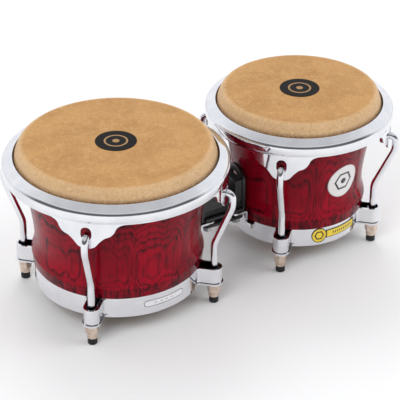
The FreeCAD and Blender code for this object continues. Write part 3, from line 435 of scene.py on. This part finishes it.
def wood_paint(drum, staves, phase, seed):
    """Red lacquer over dark ash grain, in staves.

    The growth rings lie almost level with each stave's face. Where the shell flares they are cut across in
    close lines, and at the waist they turn into upright bands.
    """
    paint = Paint(f"ash_lacquer_{drum.name}", Specular_IOR_Level=0.0)
    paint.set(Coat_Weight=1.0, Coat_Roughness=0.2, Coat_IOR=1.22)
    x, radius = paint.round_axis(drum)
    y, z = paint.y, paint.z
    angle = y.op("ARCTAN2", x) + phase
    stave = 2 * math.pi / staves
    number = (angle / stave + 0.5).op("FLOOR")
    across = (angle - number * stave) * drum.waist_r
    lean, tilt, shift = paint.randoms(number + seed)
    waver = paint.noise(across * 0.07, number * 7.3 + seed, z * 0.012, 1.0, 0.5)
    ripple = paint.noise(across * 0.4, number * 3.1, z * 0.03, 2.0, 0.6)
    aside = (across + (tilt - 0.5) * 9.0) / (stave / 2 * drum.waist_r)
    bow = aside * aside * (aside.op("ABSOLUTE") + 0.4) * (lean * 5.0 + 1.5)
    flare = (radius - drum.waist_r) * 0.8 + (z - WAIST_Z) * ((shift - 0.5) * 0.05)
    depth = (flare * flare + bow * bow).op("SQRT") + waver * 4.6 + ripple * 0.55
    rings = depth / 1.35 + paint.noise(depth * 0.5, number * 3.7, 0.0, 1.0) * 1.2 + shift * 31.0
    count = rings.op("FLOOR")
    place = rings - count
    strength = paint.randoms(count + number * 31.0)[0]
    plain = (flare + bow).step(1.0, 4.5) * 0.5 + 0.5
    line = place.step(0.25, 0.85) * place.step(1.0, 0.9) * (strength * 0.8 + 0.2) * plain
    broad = paint.noise(depth * 0.28 + 4.0, number * 5.0, 0.0, 1.0).step(0.52, 0.68)
    pores = paint.noise(x * 1.4, y * 1.4, z * 0.09, 3.0, 0.65)
    streak = paint.noise(x * 0.3, y * 0.3, z * 0.014, 3.0, 0.6)
    patch = paint.noise(x * 0.02, y * 0.02, z * 0.02 + 7.0, 2.0)
    red = paint.mix(patch.step(0.3, 0.7), linear(162, 7, 35), linear(136, 6, 28))
    red = paint.mix(streak.step(0.5, 0.72) * 0.5, red, linear(78, 6, 20))
    fine = streak.step(0.42, 0.62)
    grain = line * (fine * 0.4 + 0.6) + broad * (fine * 0.5 + 0.2)
    grain = grain + pores.step(0.5, 0.7) * (line * 0.3 + 0.15)
    red = paint.mix(grain.op("MINIMUM", 0.95), red, linear(36, 12, 18))
    # Painted shade: the band below the bulge's crease, which turns under, is darkened, broken up by the
    # streaks.
    below = z.step(CREASE_Z + 0.4, CREASE_Z - 0.6)
    red = paint.mix(below * (streak.step(0.4, 0.6) * 0.5 + 0.15), red, linear(46, 6, 14))
    paint.colour(red)
    paint.rough(line * 0.12 + pores * 0.1 + 0.3)
    paint.bump(line * -0.6 + pores * 0.25, 0.1)
    return paint.material


def bare_wood_paint():
    """Pale ash with no lacquer, for the shell's inside and its edges."""
    paint = Paint("ash_inside", Coat_Weight=0.15, Coat_Roughness=0.4)
    grain = paint.noise(paint.x * 0.35, paint.y * 0.35, paint.z * 0.02, 4.0, 0.6, 0.5)
    fine = paint.noise(paint.x * 1.5, paint.y * 1.5, paint.z * 0.07, 3.0, 0.6)
    wood = paint.mix(grain.step(0.35, 0.7), linear(206, 172, 126), linear(176, 138, 94))
    paint.colour(paint.mix(fine.step(0.5, 0.8) * 0.5, wood, linear(140, 104, 68)))
    paint.rough(fine * 0.2 + 0.45)
    paint.bump(grain * 0.5 + fine * 0.5, 0.15)
    return paint.material


def patch_paint(drum):
    """Black patch of the head, with a plain thin ring and dot printed on it."""
    paint = Paint(f"patch_{drum.name}", Specular_IOR_Level=0.12)
    x, radius = paint.round_axis(drum)
    y = paint.y
    wear_and_painted_highlight = paint.noise(x * 0.5, y * 0.5, paint.z * 0.5, 4.0, 0.6)
    black = paint.mix(wear_and_painted_highlight.step(0.4, 0.8), linear(12, 10, 9), linear(26, 22, 20))
    ring = (radius - 12.5).op("ABSOLUTE").step(1.2, 0.9) + radius.step(4.2, 3.8)
    paint.colour(paint.mix(ring * 0.9, black, linear(176, 138, 96)))
    paint.rough(wear_and_painted_highlight * 0.2 + 0.4)
    paint.bump(wear_and_painted_highlight, 0.05)
    return paint.material


def badge_field(paint, drum, angle, z, radius):
    """Distances from a badge's middle, along the drum's round at this radius, and upwards."""
    turn = paint.y.op("ARCTAN2", paint.x - drum.x) - math.radians(angle)
    return turn * radius, paint.z - z


def hexagon_line(along, up, radius, width):
    """1 on a hexagon's outline, 0 off it."""
    across = (along.op("ABSOLUTE") * 0.866 + up.op("ABSOLUTE") * 0.5).op("MAXIMUM", up.op("ABSOLUTE"))
    return (across - radius).op("ABSOLUTE").step(width + 0.25, width - 0.25)


def shell_badge_paint(drum):
    """Round white badge with a plain hexagon and dot."""
    paint = Paint("badge_round", Coat_Weight=0.4, Coat_Roughness=0.12)
    along, up = badge_field(paint, drum, SHELL_BADGE_ANGLE, SHELL_BADGE_Z, SHELL_R_AT_BADGE)
    radius = (along * along + up * up).op("SQRT")
    tone = paint.noise(paint.x * 0.1, paint.y * 0.1, paint.z * 0.1, 3.0)
    white = paint.mix(tone, linear(226, 222, 222), linear(238, 234, 233))
    mark = hexagon_line(along, up, 10.0, 1.2) + radius.step(3.9, 3.5)
    white = paint.mix(mark.op("MINIMUM", 1.0), white, linear(24, 22, 23))
    edge = radius.step(20.4, 21.2)
    paint.colour(paint.mix(edge * 0.6, white, linear(120, 112, 112)))
    paint.rough(tone * 0.1 + 0.25)
    paint.bump(tone, 0.03)
    return paint.material


def ring_plate_paint(drum):
    """Pale plate with a dark outline and a row of plain dashes along its middle."""
    paint = Paint("plate_long", Coat_Weight=0.3, Coat_Roughness=0.15)
    along, up = badge_field(paint, drum, RING_PLATE_ANGLE, RING_PLATE_Z, drum.ring_r)
    past = (along.op("ABSOLUTE") - 22.5).op("MAXIMUM", 0.0)
    reach = (past * past + up * up).op("SQRT")
    tone = paint.noise(paint.x * 0.12, paint.y * 0.12, paint.z * 0.12, 3.0)
    pale = paint.mix(tone, linear(228, 229, 232), linear(243, 243, 245))
    outline = (reach - 3.7).op("ABSOLUTE").step(0.55, 0.3)
    row = up.op("ABSOLUTE").step(0.9, 0.6) * along.op("ABSOLUTE").step(15.0, 14.5)
    dashes = (along * 0.9).op("SINE").step(-0.2, 0.2) * row
    pale = paint.mix(outline * 0.9, pale, linear(44, 44, 48))
    paint.colour(paint.mix(dashes * 0.45, pale, linear(110, 110, 114)))
    paint.rough(tone * 0.1 + 0.25)
    paint.bump(tone, 0.02)
    return paint.material


def ring_badge_paint(drum):
    """Yellow disc and strip with dark outlines, a plain hexagon on the disc and a row of lozenges."""
    paint = Paint("badge_strip", Coat_Weight=0.4, Coat_Roughness=0.12)
    near, up = badge_field(paint, drum, RING_DISC_ANGLE, RING_BADGE_Z, drum.ring_r)
    radius = (near * near + up * up).op("SQRT")
    along, _ = badge_field(paint, drum, RING_STRIP_ANGLE, RING_BADGE_Z, drum.ring_r)
    tone = paint.noise(paint.x * 0.12, paint.y * 0.12, paint.z * 0.12, 3.0)
    yellow = paint.mix(tone, linear(238, 206, 34), linear(246, 216, 52))
    on_disc = radius.step(10.0, 9.8)
    frame = along.op("ABSOLUTE").step(21.8, 22.3) + up.op("ABSOLUTE").step(4.1, 4.5)
    gems = ((along * 0.95).op("SINE").op("ABSOLUTE") * 2.6 + up.op("ABSOLUTE")).step(2.6, 2.0)
    gems = gems * (along - 2.0).op("ABSOLUTE").step(16.5, 15.5) * up.op("ABSOLUTE").step(2.4, 2.0)
    strip = (frame + gems).op("MINIMUM", 1.0) * (on_disc * -1.0 + 1.0)
    disc = on_disc * (radius.step(8.3, 8.8) + hexagon_line(near, up, 4.6, 0.8)).op("MINIMUM", 1.0)
    paint.colour(paint.mix((strip + disc).op("MINIMUM", 1.0), yellow, linear(30, 27, 16)))
    paint.rough(tone * 0.1 + 0.25)
    paint.bump(tone, 0.02)
    return paint.material


CHROME = chrome_paint()
NICKEL = nickel_paint()
STEEL = steel_paint()
RUBBER = rubber_paint()
BLOCK = block_paint()
BARE = bare_wood_paint()


# ---- Pieces of each drum ----
def shell_outside(drum):
    """The shell's outside as (radius, z), from its foot in the ring up over the bearing edge."""
    fit_r = drum.ring_r - RING_WALL
    step_r = drum.bulge_r - FOOT_STEP
    edge_z = BEARING_Z - EDGE_R
    rise = edge_z - WAIST_Z
    foot = WAIST_Z - CREASE_Z
    points = [(fit_r, LIP_TOP_Z), (fit_r, RING_TOP_Z + 0.4), (step_r - 0.7, RING_TOP_Z + 0.4)]
    points += [(step_r - 0.2, RING_TOP_Z + 0.6), (step_r, RING_TOP_Z + 1.1)]
    points += [(drum.bulge_r - 0.25, CREASE_Z - 2.0), (drum.bulge_r - 0.02, CREASE_Z - 0.5)]
    points += [(drum.bulge_r - 0.03, CREASE_Z + 0.3)]
    points += bezier(
        (drum.bulge_r - 0.1, CREASE_Z + 0.8),
        (drum.bulge_r - 1.6, CREASE_Z + 0.35 * foot),
        (drum.waist_r, CREASE_Z + 0.65 * foot),
        (drum.waist_r, WAIST_Z),
        16,
    )
    points += bezier(
        (drum.waist_r, WAIST_Z),
        (drum.waist_r, WAIST_Z + 0.30 * rise),
        (drum.head_r, WAIST_Z + 0.65 * rise),
        (drum.head_r, edge_z),
        36,
    )[1:]
    return points + arc((drum.head_r - EDGE_R, edge_z), EDGE_R, 0, 90, 8)[1:]


def shell_inside(drum):
    """The shell's inside as (radius, z), from the bearing edge down to the foot."""
    bore_r = drum.waist_r - SHELL_WALL
    flat_r = drum.head_r - EDGE_R - EDGE_FLAT
    slope_r, slope_z = flat_r - EDGE_SLOPE, BEARING_Z - EDGE_SLOPE
    middle_z = (WAIST_Z + slope_z) / 2
    points = [(flat_r, BEARING_Z), (slope_r, slope_z)]
    points += bezier(
        (slope_r, slope_z),
        (slope_r, middle_z + 0.3 * (slope_z - middle_z)),
        (bore_r, middle_z),
        (bore_r, WAIST_Z),
        16,
    )[1:]
    return points + [(bore_r, LIP_TOP_Z)]


def shell_piece(drum, material):
    """The shell, lacquered outside and bare inside."""
    outside = shell_outside(drum)
    profile = outside + shell_inside(drum)
    count = len(profile)
    verts, faces = turned_grid(profile, drum.x, 256, closed=True)
    obj = mesh_object(f"{drum.name}_shell_wood", verts, faces, [material, BARE], 30.0)
    for polygon in obj.data.polygons:
        rows = [v % count for v in polygon.vertices]
        under_foot = min(rows) == 0 and max(rows) == count - 1
        if min(rows) >= len(outside) - 1 or under_foot:
            polygon.material_index = 1
    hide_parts(f"{drum.name}_shell")
    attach(obj, ROOT)


def hide_profile(drum, hoop_r, hoop_z):
    """The hide as (radius, z): out over the head, round the hoop, and back along its underside."""
    flat_r = drum.head_r - HIDE_FLAT_IN
    collar_r = drum.head_r + COLLAR_OUT
    collar_z = SKIN_TOP_Z - COLLAR_DROP
    points = [(0.02, SKIN_TOP_Z)] + [(flat_r * math.sqrt(i / 24), SKIN_TOP_Z) for i in range(1, 24)]
    points += bezier(
        (flat_r, SKIN_TOP_Z),
        (flat_r + HIDE_TURN, SKIN_TOP_Z),
        (collar_r - COLLAR_LEAN, SKIN_TOP_Z - COLLAR_LEAN_DROP),
        (collar_r, collar_z),
        24,
    )
    across = (collar_r - hoop_r + 0.4) / WRAP_R
    start = math.degrees(math.acos(max(-1.0, min(1.0, across))))
    points += arc((hoop_r, hoop_z), WRAP_R, start, -190, 30)
    points += [(hoop_r - WRAP_R, hoop_z + 2.0)]
    underside = bezier(
        (flat_r, BEARING_Z),
        (flat_r + HIDE_TURN_INSIDE, BEARING_Z),
        (collar_r - 4.6, SKIN_TOP_Z - 7.6),
        (collar_r - 1.8, collar_z - 0.6),
        16,
    )
    points += list(reversed(underside))
    return points + [(flat_r * 0.6, BEARING_Z), (0.02, BEARING_Z)]


def clamp(value):
    """The value, held between 0 and 1."""
    return max(0.0, min(1.0, value))


def hide_piece(drum, material):
    """Skin over the bearing edge, down to the wrap round the hoop, with a slightly uneven surface."""
    hoop_r = drum.rim_r - LIP_WIDTH + HOOP_IN
    box_low, box_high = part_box(f"{drum.name}_flesh_hoop")
    hoop_z = (box_low.z + box_high.z) / 2 / MM
    still_z = hoop_z + 6
    verts, faces = turned_grid(hide_profile(drum, hoop_r, hoop_z), drum.x, 288)
    uneven = []
    for x, y, z in verts:
        a = math.atan2(y, x - drum.x)
        ripple = math.sin(3 * a + 0.7) + 0.6 * math.sin(7 * a + 2.1) + 0.4 * math.sin(17 * a + 4.0)
        share = clamp((SKIN_TOP_Z - z) / 12.0) if z > still_z else 0.0
        grow = 0.16 * ripple * share * clamp((z - still_z) / 4.0)
        uneven.append((x + grow * math.cos(a), y + grow * math.sin(a), z))
    obj = mesh_object(f"{drum.name}_head_hide", uneven, faces, [material], 60.0)
    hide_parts(f"{drum.name}_skin")
    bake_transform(obj)


def depth_of_ear(along):
    """The ear's depth below the skirt's edge: a smooth line through EAR_HALF, level at both ends."""
    along = abs(along)
    if along >= EAR_END:
        return 0.0
    points = EAR_HALF
    i = bisect.bisect_right([p[0] for p in points], along) - 1
    (x0, y0), (x1, y1) = points[i], points[i + 1]

    def slope(k):
        """The line's slope at one of the points."""
        if k in (0, len(points) - 1):
            return 0.0
        left = (points[k][1] - points[k - 1][1]) / (points[k][0] - points[k - 1][0])
        right = (points[k + 1][1] - points[k][1]) / (points[k + 1][0] - points[k][0])
        return (left + right) / 2

    h = x1 - x0
    t = (along - x0) / h
    value = (
        (2 * t**3 - 3 * t**2 + 1) * y0 + (t**3 - 2 * t**2 + t) * h * slope(i)
        + (-2 * t**3 + 3 * t**2) * y1 + (t**3 - t**2) * h * slope(i + 1)
    )
    return max(0.0, value)


def rim_section(drum):
    """The rim's lip, shoulder and face as (radius, z), down to the top of its skirt."""
    lip_r = drum.rim_r - LIP_WIDTH
    shoulder = drum.rim_r - SHOULDER_R
    inwards, up = lip_r - shoulder, RIM_LIP_Z - RIM_WIDEST_Z
    turn = math.degrees(math.atan2(up, inwards) - math.acos(SHOULDER_R / math.hypot(inwards, up)))
    bend = arc((shoulder, RIM_WIDEST_Z), SHOULDER_R, turn, 0, 14)
    bend_r, bend_z = bend[0]
    points = []
    for k in range(5):
        points.append((lip_r + (bend_r - lip_r) * k / 5, RIM_LIP_Z + (bend_z - RIM_LIP_Z) * k / 5))
    points += bend
    for k in range(1, 6):
        tucked = TUCK * (1 - math.cos(math.pi * k / 12)) / 2
        points.append((drum.rim_r - tucked, RIM_WIDEST_Z - (RIM_WIDEST_Z - RIM_FACE_Z) * k / 6))
    return points


def rim_stations(drum):
    """Angles round the rim, each with its distance from the nearest lug: close together at the ears."""
    to_deg = math.degrees(1 / drum.skirt_r)
    marks = [0.0, 1.0, 2.0, 3.0, 4.0, 4.8, 5.4, 5.8, SLOT_HALF]
    marks += [SLOT_HALF + k for k in range(1, 41)] + [EAR_END + 1.5]
    reach = marks[-1] * to_deg
    plain_steps = 20
    plain = (45.0 - reach) / plain_steps
    half = [m * to_deg for m in marks] + [reach + plain * k for k in range(1, plain_steps + 1)]
    stations = []
    for lug in LUG_ANGLES:
        stations += [((lug - h) % 360.0, -h / to_deg) for h in reversed(half[1:])]
        stations += [((lug + h) % 360.0, h / to_deg) for h in half[:-1]]
    return sorted(stations)


def skirt_levels(along):
    """The skirt's top, the slot's upper and lower end beside or at this place, and the ear's edge."""
    bottom = SKIRT_Z - depth_of_ear(along)
    height = RIM_FACE_Z - bottom
    side_upper = SLOT_SEAT_Z + SLOT_HEIGHT - SLOT_HALF
    side_lower = SLOT_SEAT_Z + SLOT_HALF
    if at_slot(along):
        cap = math.sqrt(max(0.0, SLOT_HALF**2 - along * along))
        return RIM_FACE_Z, side_upper + cap, side_lower - cap, bottom
    upper = RIM_FACE_Z - 0.38 * height
    lower = RIM_FACE_Z - 0.51 * height
    near = max(0.0, 1 - (abs(along) - SLOT_HALF) / SLOT_FADE)
    return RIM_FACE_Z, upper + (side_upper - upper) * near, lower + (side_lower - lower) * near, bottom


def at_slot(along):
    """Whether this distance from the lug is on the slot, its edges included."""
    return abs(along) <= SLOT_HALF + ROUNDING


def rim_piece(drum):
    """The pressed rim as one sheet: lip, shoulder, face and skirt, with an ear and a slot at each lug."""
    section = rim_section(drum)
    rows = (6, 4, 8)      # of faces above the slot, beside it and below it
    verts, faces, columns = [], [], []
    for angle, along in rim_stations(drum):
        c, n = math.cos(math.radians(angle)), math.sin(math.radians(angle))
        levels = skirt_levels(along)
        line = list(section)
        for part, n_rows in enumerate(rows):
            step = levels[part + 1] - levels[part]
            for k in range(0 if part == 0 else 1, n_rows + 1):
                line.append((drum.skirt_r, levels[part] + step * k / n_rows))
        first = len(verts)
        verts += [(drum.x + r * c, r * n, z) for r, z in line]
        columns.append((along, first, len(line)))
    slot_first = len(section) + rows[0]
    slot_last = slot_first + rows[1]
    for (here, left, count), (ahead, right, _) in zip(columns, columns[1:] + columns[:1]):
        open_here = at_slot(here) and at_slot(ahead)
        for k in range(count - 1):
            if not (open_here and slot_first <= k < slot_last):
                faces.append((left + k + 1, right + k + 1, right + k, left + k))
    obj = mesh_object(f"{drum.name}_rim_chrome", verts, faces, [CHROME], 50.0)
    sheet = obj.modifiers.new("sheet", "SOLIDIFY")
    sheet.thickness = SHEET * MM
    sheet.offset = -1.0
    sheet.use_even_offset = True
    apply_modifiers(obj, 50.0)
    bevel(obj, 0.55, 3, 50.0)
    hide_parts(f"{drum.name}_rim")
    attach(obj, drum.head)


def rod_path(drum):
    """The rod's centre line at angle 0 as (radius, z), from its lower end to the tip of the hook."""
    hook_r = drum.skirt_r - SHEET / 2 + HOOK_OUT
    inside = HOOK_BEND_R - ROD_R - HOOK_GAP
    hook_z = SLOT_SEAT_Z - math.sqrt(inside**2 - (SHEET / 2 + HOOK_OUT) ** 2)
    slant_z = RING_TOP_Z + ROD_BEND_RISE
    straight_z = min(slant_z + ROD_SLANT_RISE, hook_z - 8)
    corners = [
        Vector((drum.lug_r, ROD_END_Z)),
        Vector((drum.lug_r, slant_z)),
        Vector((hook_r + HOOK_BEND_R, straight_z)),
        Vector((hook_r + HOOK_BEND_R, hook_z)),
    ]
    points = [corners[0]]
    for before, corner, after in zip(corners, corners[1:], corners[2:]):
        back = (before - corner).normalized()
        ahead = (after - corner).normalized()
        half = (math.pi - back.angle(ahead)) / 2
        reach = ROD_BEND_R * math.tan(half)
        start, end = corner + back * reach, corner + ahead * reach
        centre = corner + (back + ahead).normalized() * (ROD_BEND_R / math.cos(half))
        a0 = math.atan2(start.y - centre.y, start.x - centre.x)
        a1 = math.atan2(end.y - centre.y, end.x - centre.x)
        sweep = (a1 - a0 + math.pi) % (2 * math.pi) - math.pi
        for k in range(13):
            a = a0 + sweep * k / 12
            points.append(centre + Vector((math.cos(a), math.sin(a))) * ROD_BEND_R)
    return points + [Vector(p) for p in arc((hook_r, hook_z), HOOK_BEND_R, 0, 180, 22)]


def rod_rings(path):
    """Centre, sideways direction and radius of each ring along the rod, with a domed tip."""
    rings = []
    for i, point in enumerate(path):
        ahead = path[min(i + 1, len(path) - 1)] - path[max(i - 1, 0)]
        ahead.normalize()
        rings.append((point, Vector((-ahead.y, ahead.x)), ROD_R))
    last, normal, _ = rings[-1]
    forward = Vector((normal.y, -normal.x))
    for k in range(1, 7):
        a = math.pi / 2 * k / 6
        rings.append((last + forward * ROD_R * math.sin(a), normal, max(0.05, ROD_R * math.cos(a))))
    return rings


def rod_pieces(drum):
    """The four bent rods, all alike, each at its lug."""
    sides = 28
    rings = rod_rings(rod_path(drum))
    local = []
    for point, normal, radius in rings:
        for j in range(sides):
            b = 2 * math.pi * j / sides
            out = radius * math.cos(b)
            local.append((point.x + normal.x * out, radius * math.sin(b), point.y + normal.y * out))
    faces = []
    for i in range(len(rings) - 1):
        here, ahead = i * sides, (i + 1) * sides
        for j in range(sides):
            k = (j + 1) % sides
            faces.append((here + j, ahead + j, ahead + k, here + k))
    faces.append(tuple(range(sides)))
    faces.append(tuple((len(rings) - 1) * sides + j for j in reversed(range(sides))))
    for number, angle in enumerate(LUG_ANGLES, start=1):
        c, s = math.cos(math.radians(angle)), math.sin(math.radians(angle))
        verts = [(drum.x + x * c - y * s, x * s + y * c, z) for x, y, z in local]
        obj = mesh_object(f"{drum.name}_rod_{number}", verts, faces, [CHROME], 50.0)
        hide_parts(f"{drum.name}_tension_rod_{number}")
        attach(obj, drum.head)


def use(node, material):
    """A CAD node keeps its shape and gets this material."""
    obj = frame["nodes"][node]
    obj.data.materials.clear()
    obj.data.materials.append(material)


HEMBRA, MACHO = DRUMS
WOOD = {"hembra": wood_paint(HEMBRA, 10, 0.32, 3.0), "macho": wood_paint(MACHO, 9, 0.1, 57.0)}
for drum in DRUMS:
    shell_piece(drum, WOOD[drum.name])
    hide_piece(drum, hide_paint(drum))
    rim_piece(drum)
    rod_pieces(drum)
    use(f"{drum.name}_bottom_ring", CHROME)
    use(f"{drum.name}_washers", CHROME)
    use(f"{drum.name}_flesh_hoop", STEEL)
    use(f"{drum.name}_rubber_caps", RUBBER)
    use(f"{drum.name}_head_patch", patch_paint(drum))
    use(f"{drum.name}_block_plate", BLOCK)
    for number in range(1, 5):
        use(f"{drum.name}_tuning_nut_{number}", NICKEL)
use("block_body", BLOCK)
use("block_tie_bars", BLOCK)
use("block_plate_screws", STEEL)
use("block_bolts", STEEL)
use("block_grommets", RUBBER)
use("hembra_ring_plate", ring_plate_paint(HEMBRA))
use("macho_shell_badge", shell_badge_paint(MACHO))
use("macho_ring_badge", ring_badge_paint(MACHO))


# ---- Camera, floor and light ----
def add_camera():
    """The photo's view: from the large drum's side and from above, far off, with a long lens."""
    azimuth, elevation, roll = math.radians(-32.51), math.radians(30.38), math.radians(0.42)
    target = Vector((-0.01929, -0.02298, 0.1))
    distance = 2.07955
    level = math.cos(elevation)
    back = Vector((math.sin(azimuth) * level, -math.cos(azimuth) * level, math.sin(elevation)))
    right = Vector((math.cos(azimuth), math.sin(azimuth), 0))
    up = back.cross(right)
    turned_right = math.cos(roll) * right + math.sin(roll) * up
    turned_up = -math.sin(roll) * right + math.cos(roll) * up
    data = bpy.data.cameras.new("camera")
    data.lens = 162.74
    data.sensor_width = 36.0
    data.shift_y = 0.0018
    data.clip_end = 50.0
    camera = bpy.data.objects.new("camera", data)
    matrix = Matrix((turned_right, turned_up, back)).transposed().to_4x4()
    matrix.translation = target + back * distance
    camera.matrix_world = matrix
    bpy.context.scene.collection.objects.link(camera)
    bpy.context.scene.camera = camera


def add_floor():
    """A wide, plain, pale floor."""
    half = 6.0
    corners = [(-half, -half, 0), (half, -half, 0), (half, half, 0), (-half, half, 0)]
    mesh = bpy.data.meshes.new("floor")
    mesh.from_pydata(corners, [], [(0, 1, 2, 3)])
    floor = bpy.data.objects.new("floor", mesh)
    bpy.context.scene.collection.objects.link(floor)
    paint = Paint("floor_pale")
    tone = paint.noise(paint.x * 0.002, paint.y * 0.002, 0.0, 2.0)
    paint.colour(paint.mix(tone, (0.93, 0.93, 0.93), (0.95, 0.95, 0.95)))
    paint.set(Roughness=0.85, Specular_IOR_Level=0.1)
    mesh.materials.append(paint.material)


def add_light(name, place, target, size, power):
    """A large soft light that shines on everything but isn't itself mirrored in the chrome."""
    data = bpy.data.lights.new(name, "AREA")
    data.energy = power
    data.size = size
    light = bpy.data.objects.new(name, data)
    light.location = place
    light.visible_glossy = False
    light.rotation_euler = (Vector(target) - Vector(place)).to_track_quat("-Z", "Y").to_euler()
    bpy.context.scene.collection.objects.link(light)


def add_world():
    """Pale studio: bright walls, a softer ceiling, and one dark screen in front, which the chrome mirrors."""
    world = bpy.data.worlds.new("studio")
    world.use_nodes = True
    bpy.context.scene.world = world
    tree = world.node_tree
    background = tree.nodes["Background"]
    coords = tree.nodes.new("ShaderNodeTexCoord")
    split = tree.nodes.new("ShaderNodeSeparateXYZ")
    tree.links.new(coords.outputs["Generated"], split.inputs[0])
    x, y, z = (Field(tree, split.outputs[i]) for i in range(3))
    flat = (x * x + y * y + 0.0001).op("SQRT")
    front = ((x * -0.54 + y * -0.84) / flat).step(-0.35, 0.2)
    screen = front * z.step(0.03, 0.12) * z.step(0.8, 0.6)
    ceiling = z.step(0.6, 0.95)
    light = (screen * -0.86 + 1.0) * (ceiling * -0.38 + 1.0)
    grey = tree.nodes.new("ShaderNodeCombineXYZ")
    for index, tint in enumerate((0.985, 0.995, 1.02)):
        tree.links.new((light * tint).socket, grey.inputs[index])
    tree.links.new(grey.outputs[0], background.inputs["Color"])
    background.inputs["Strength"].default_value = 1.0


add_camera()
add_floor()
add_world()
add_light("key", (-1.7, -0.9, 1.7), (0, 0, 0.1), 1.4, 24.0)
add_light("back", (0.6, 1.7, 1.9), (0, 0, 0.1), 1.5, 16.0)
add_light("fill", (1.4, -1.3, 1.3), (0, 0, 0.1), 1.4, 14.0)
bpy.context.scene.view_settings.view_transform = "Standard"
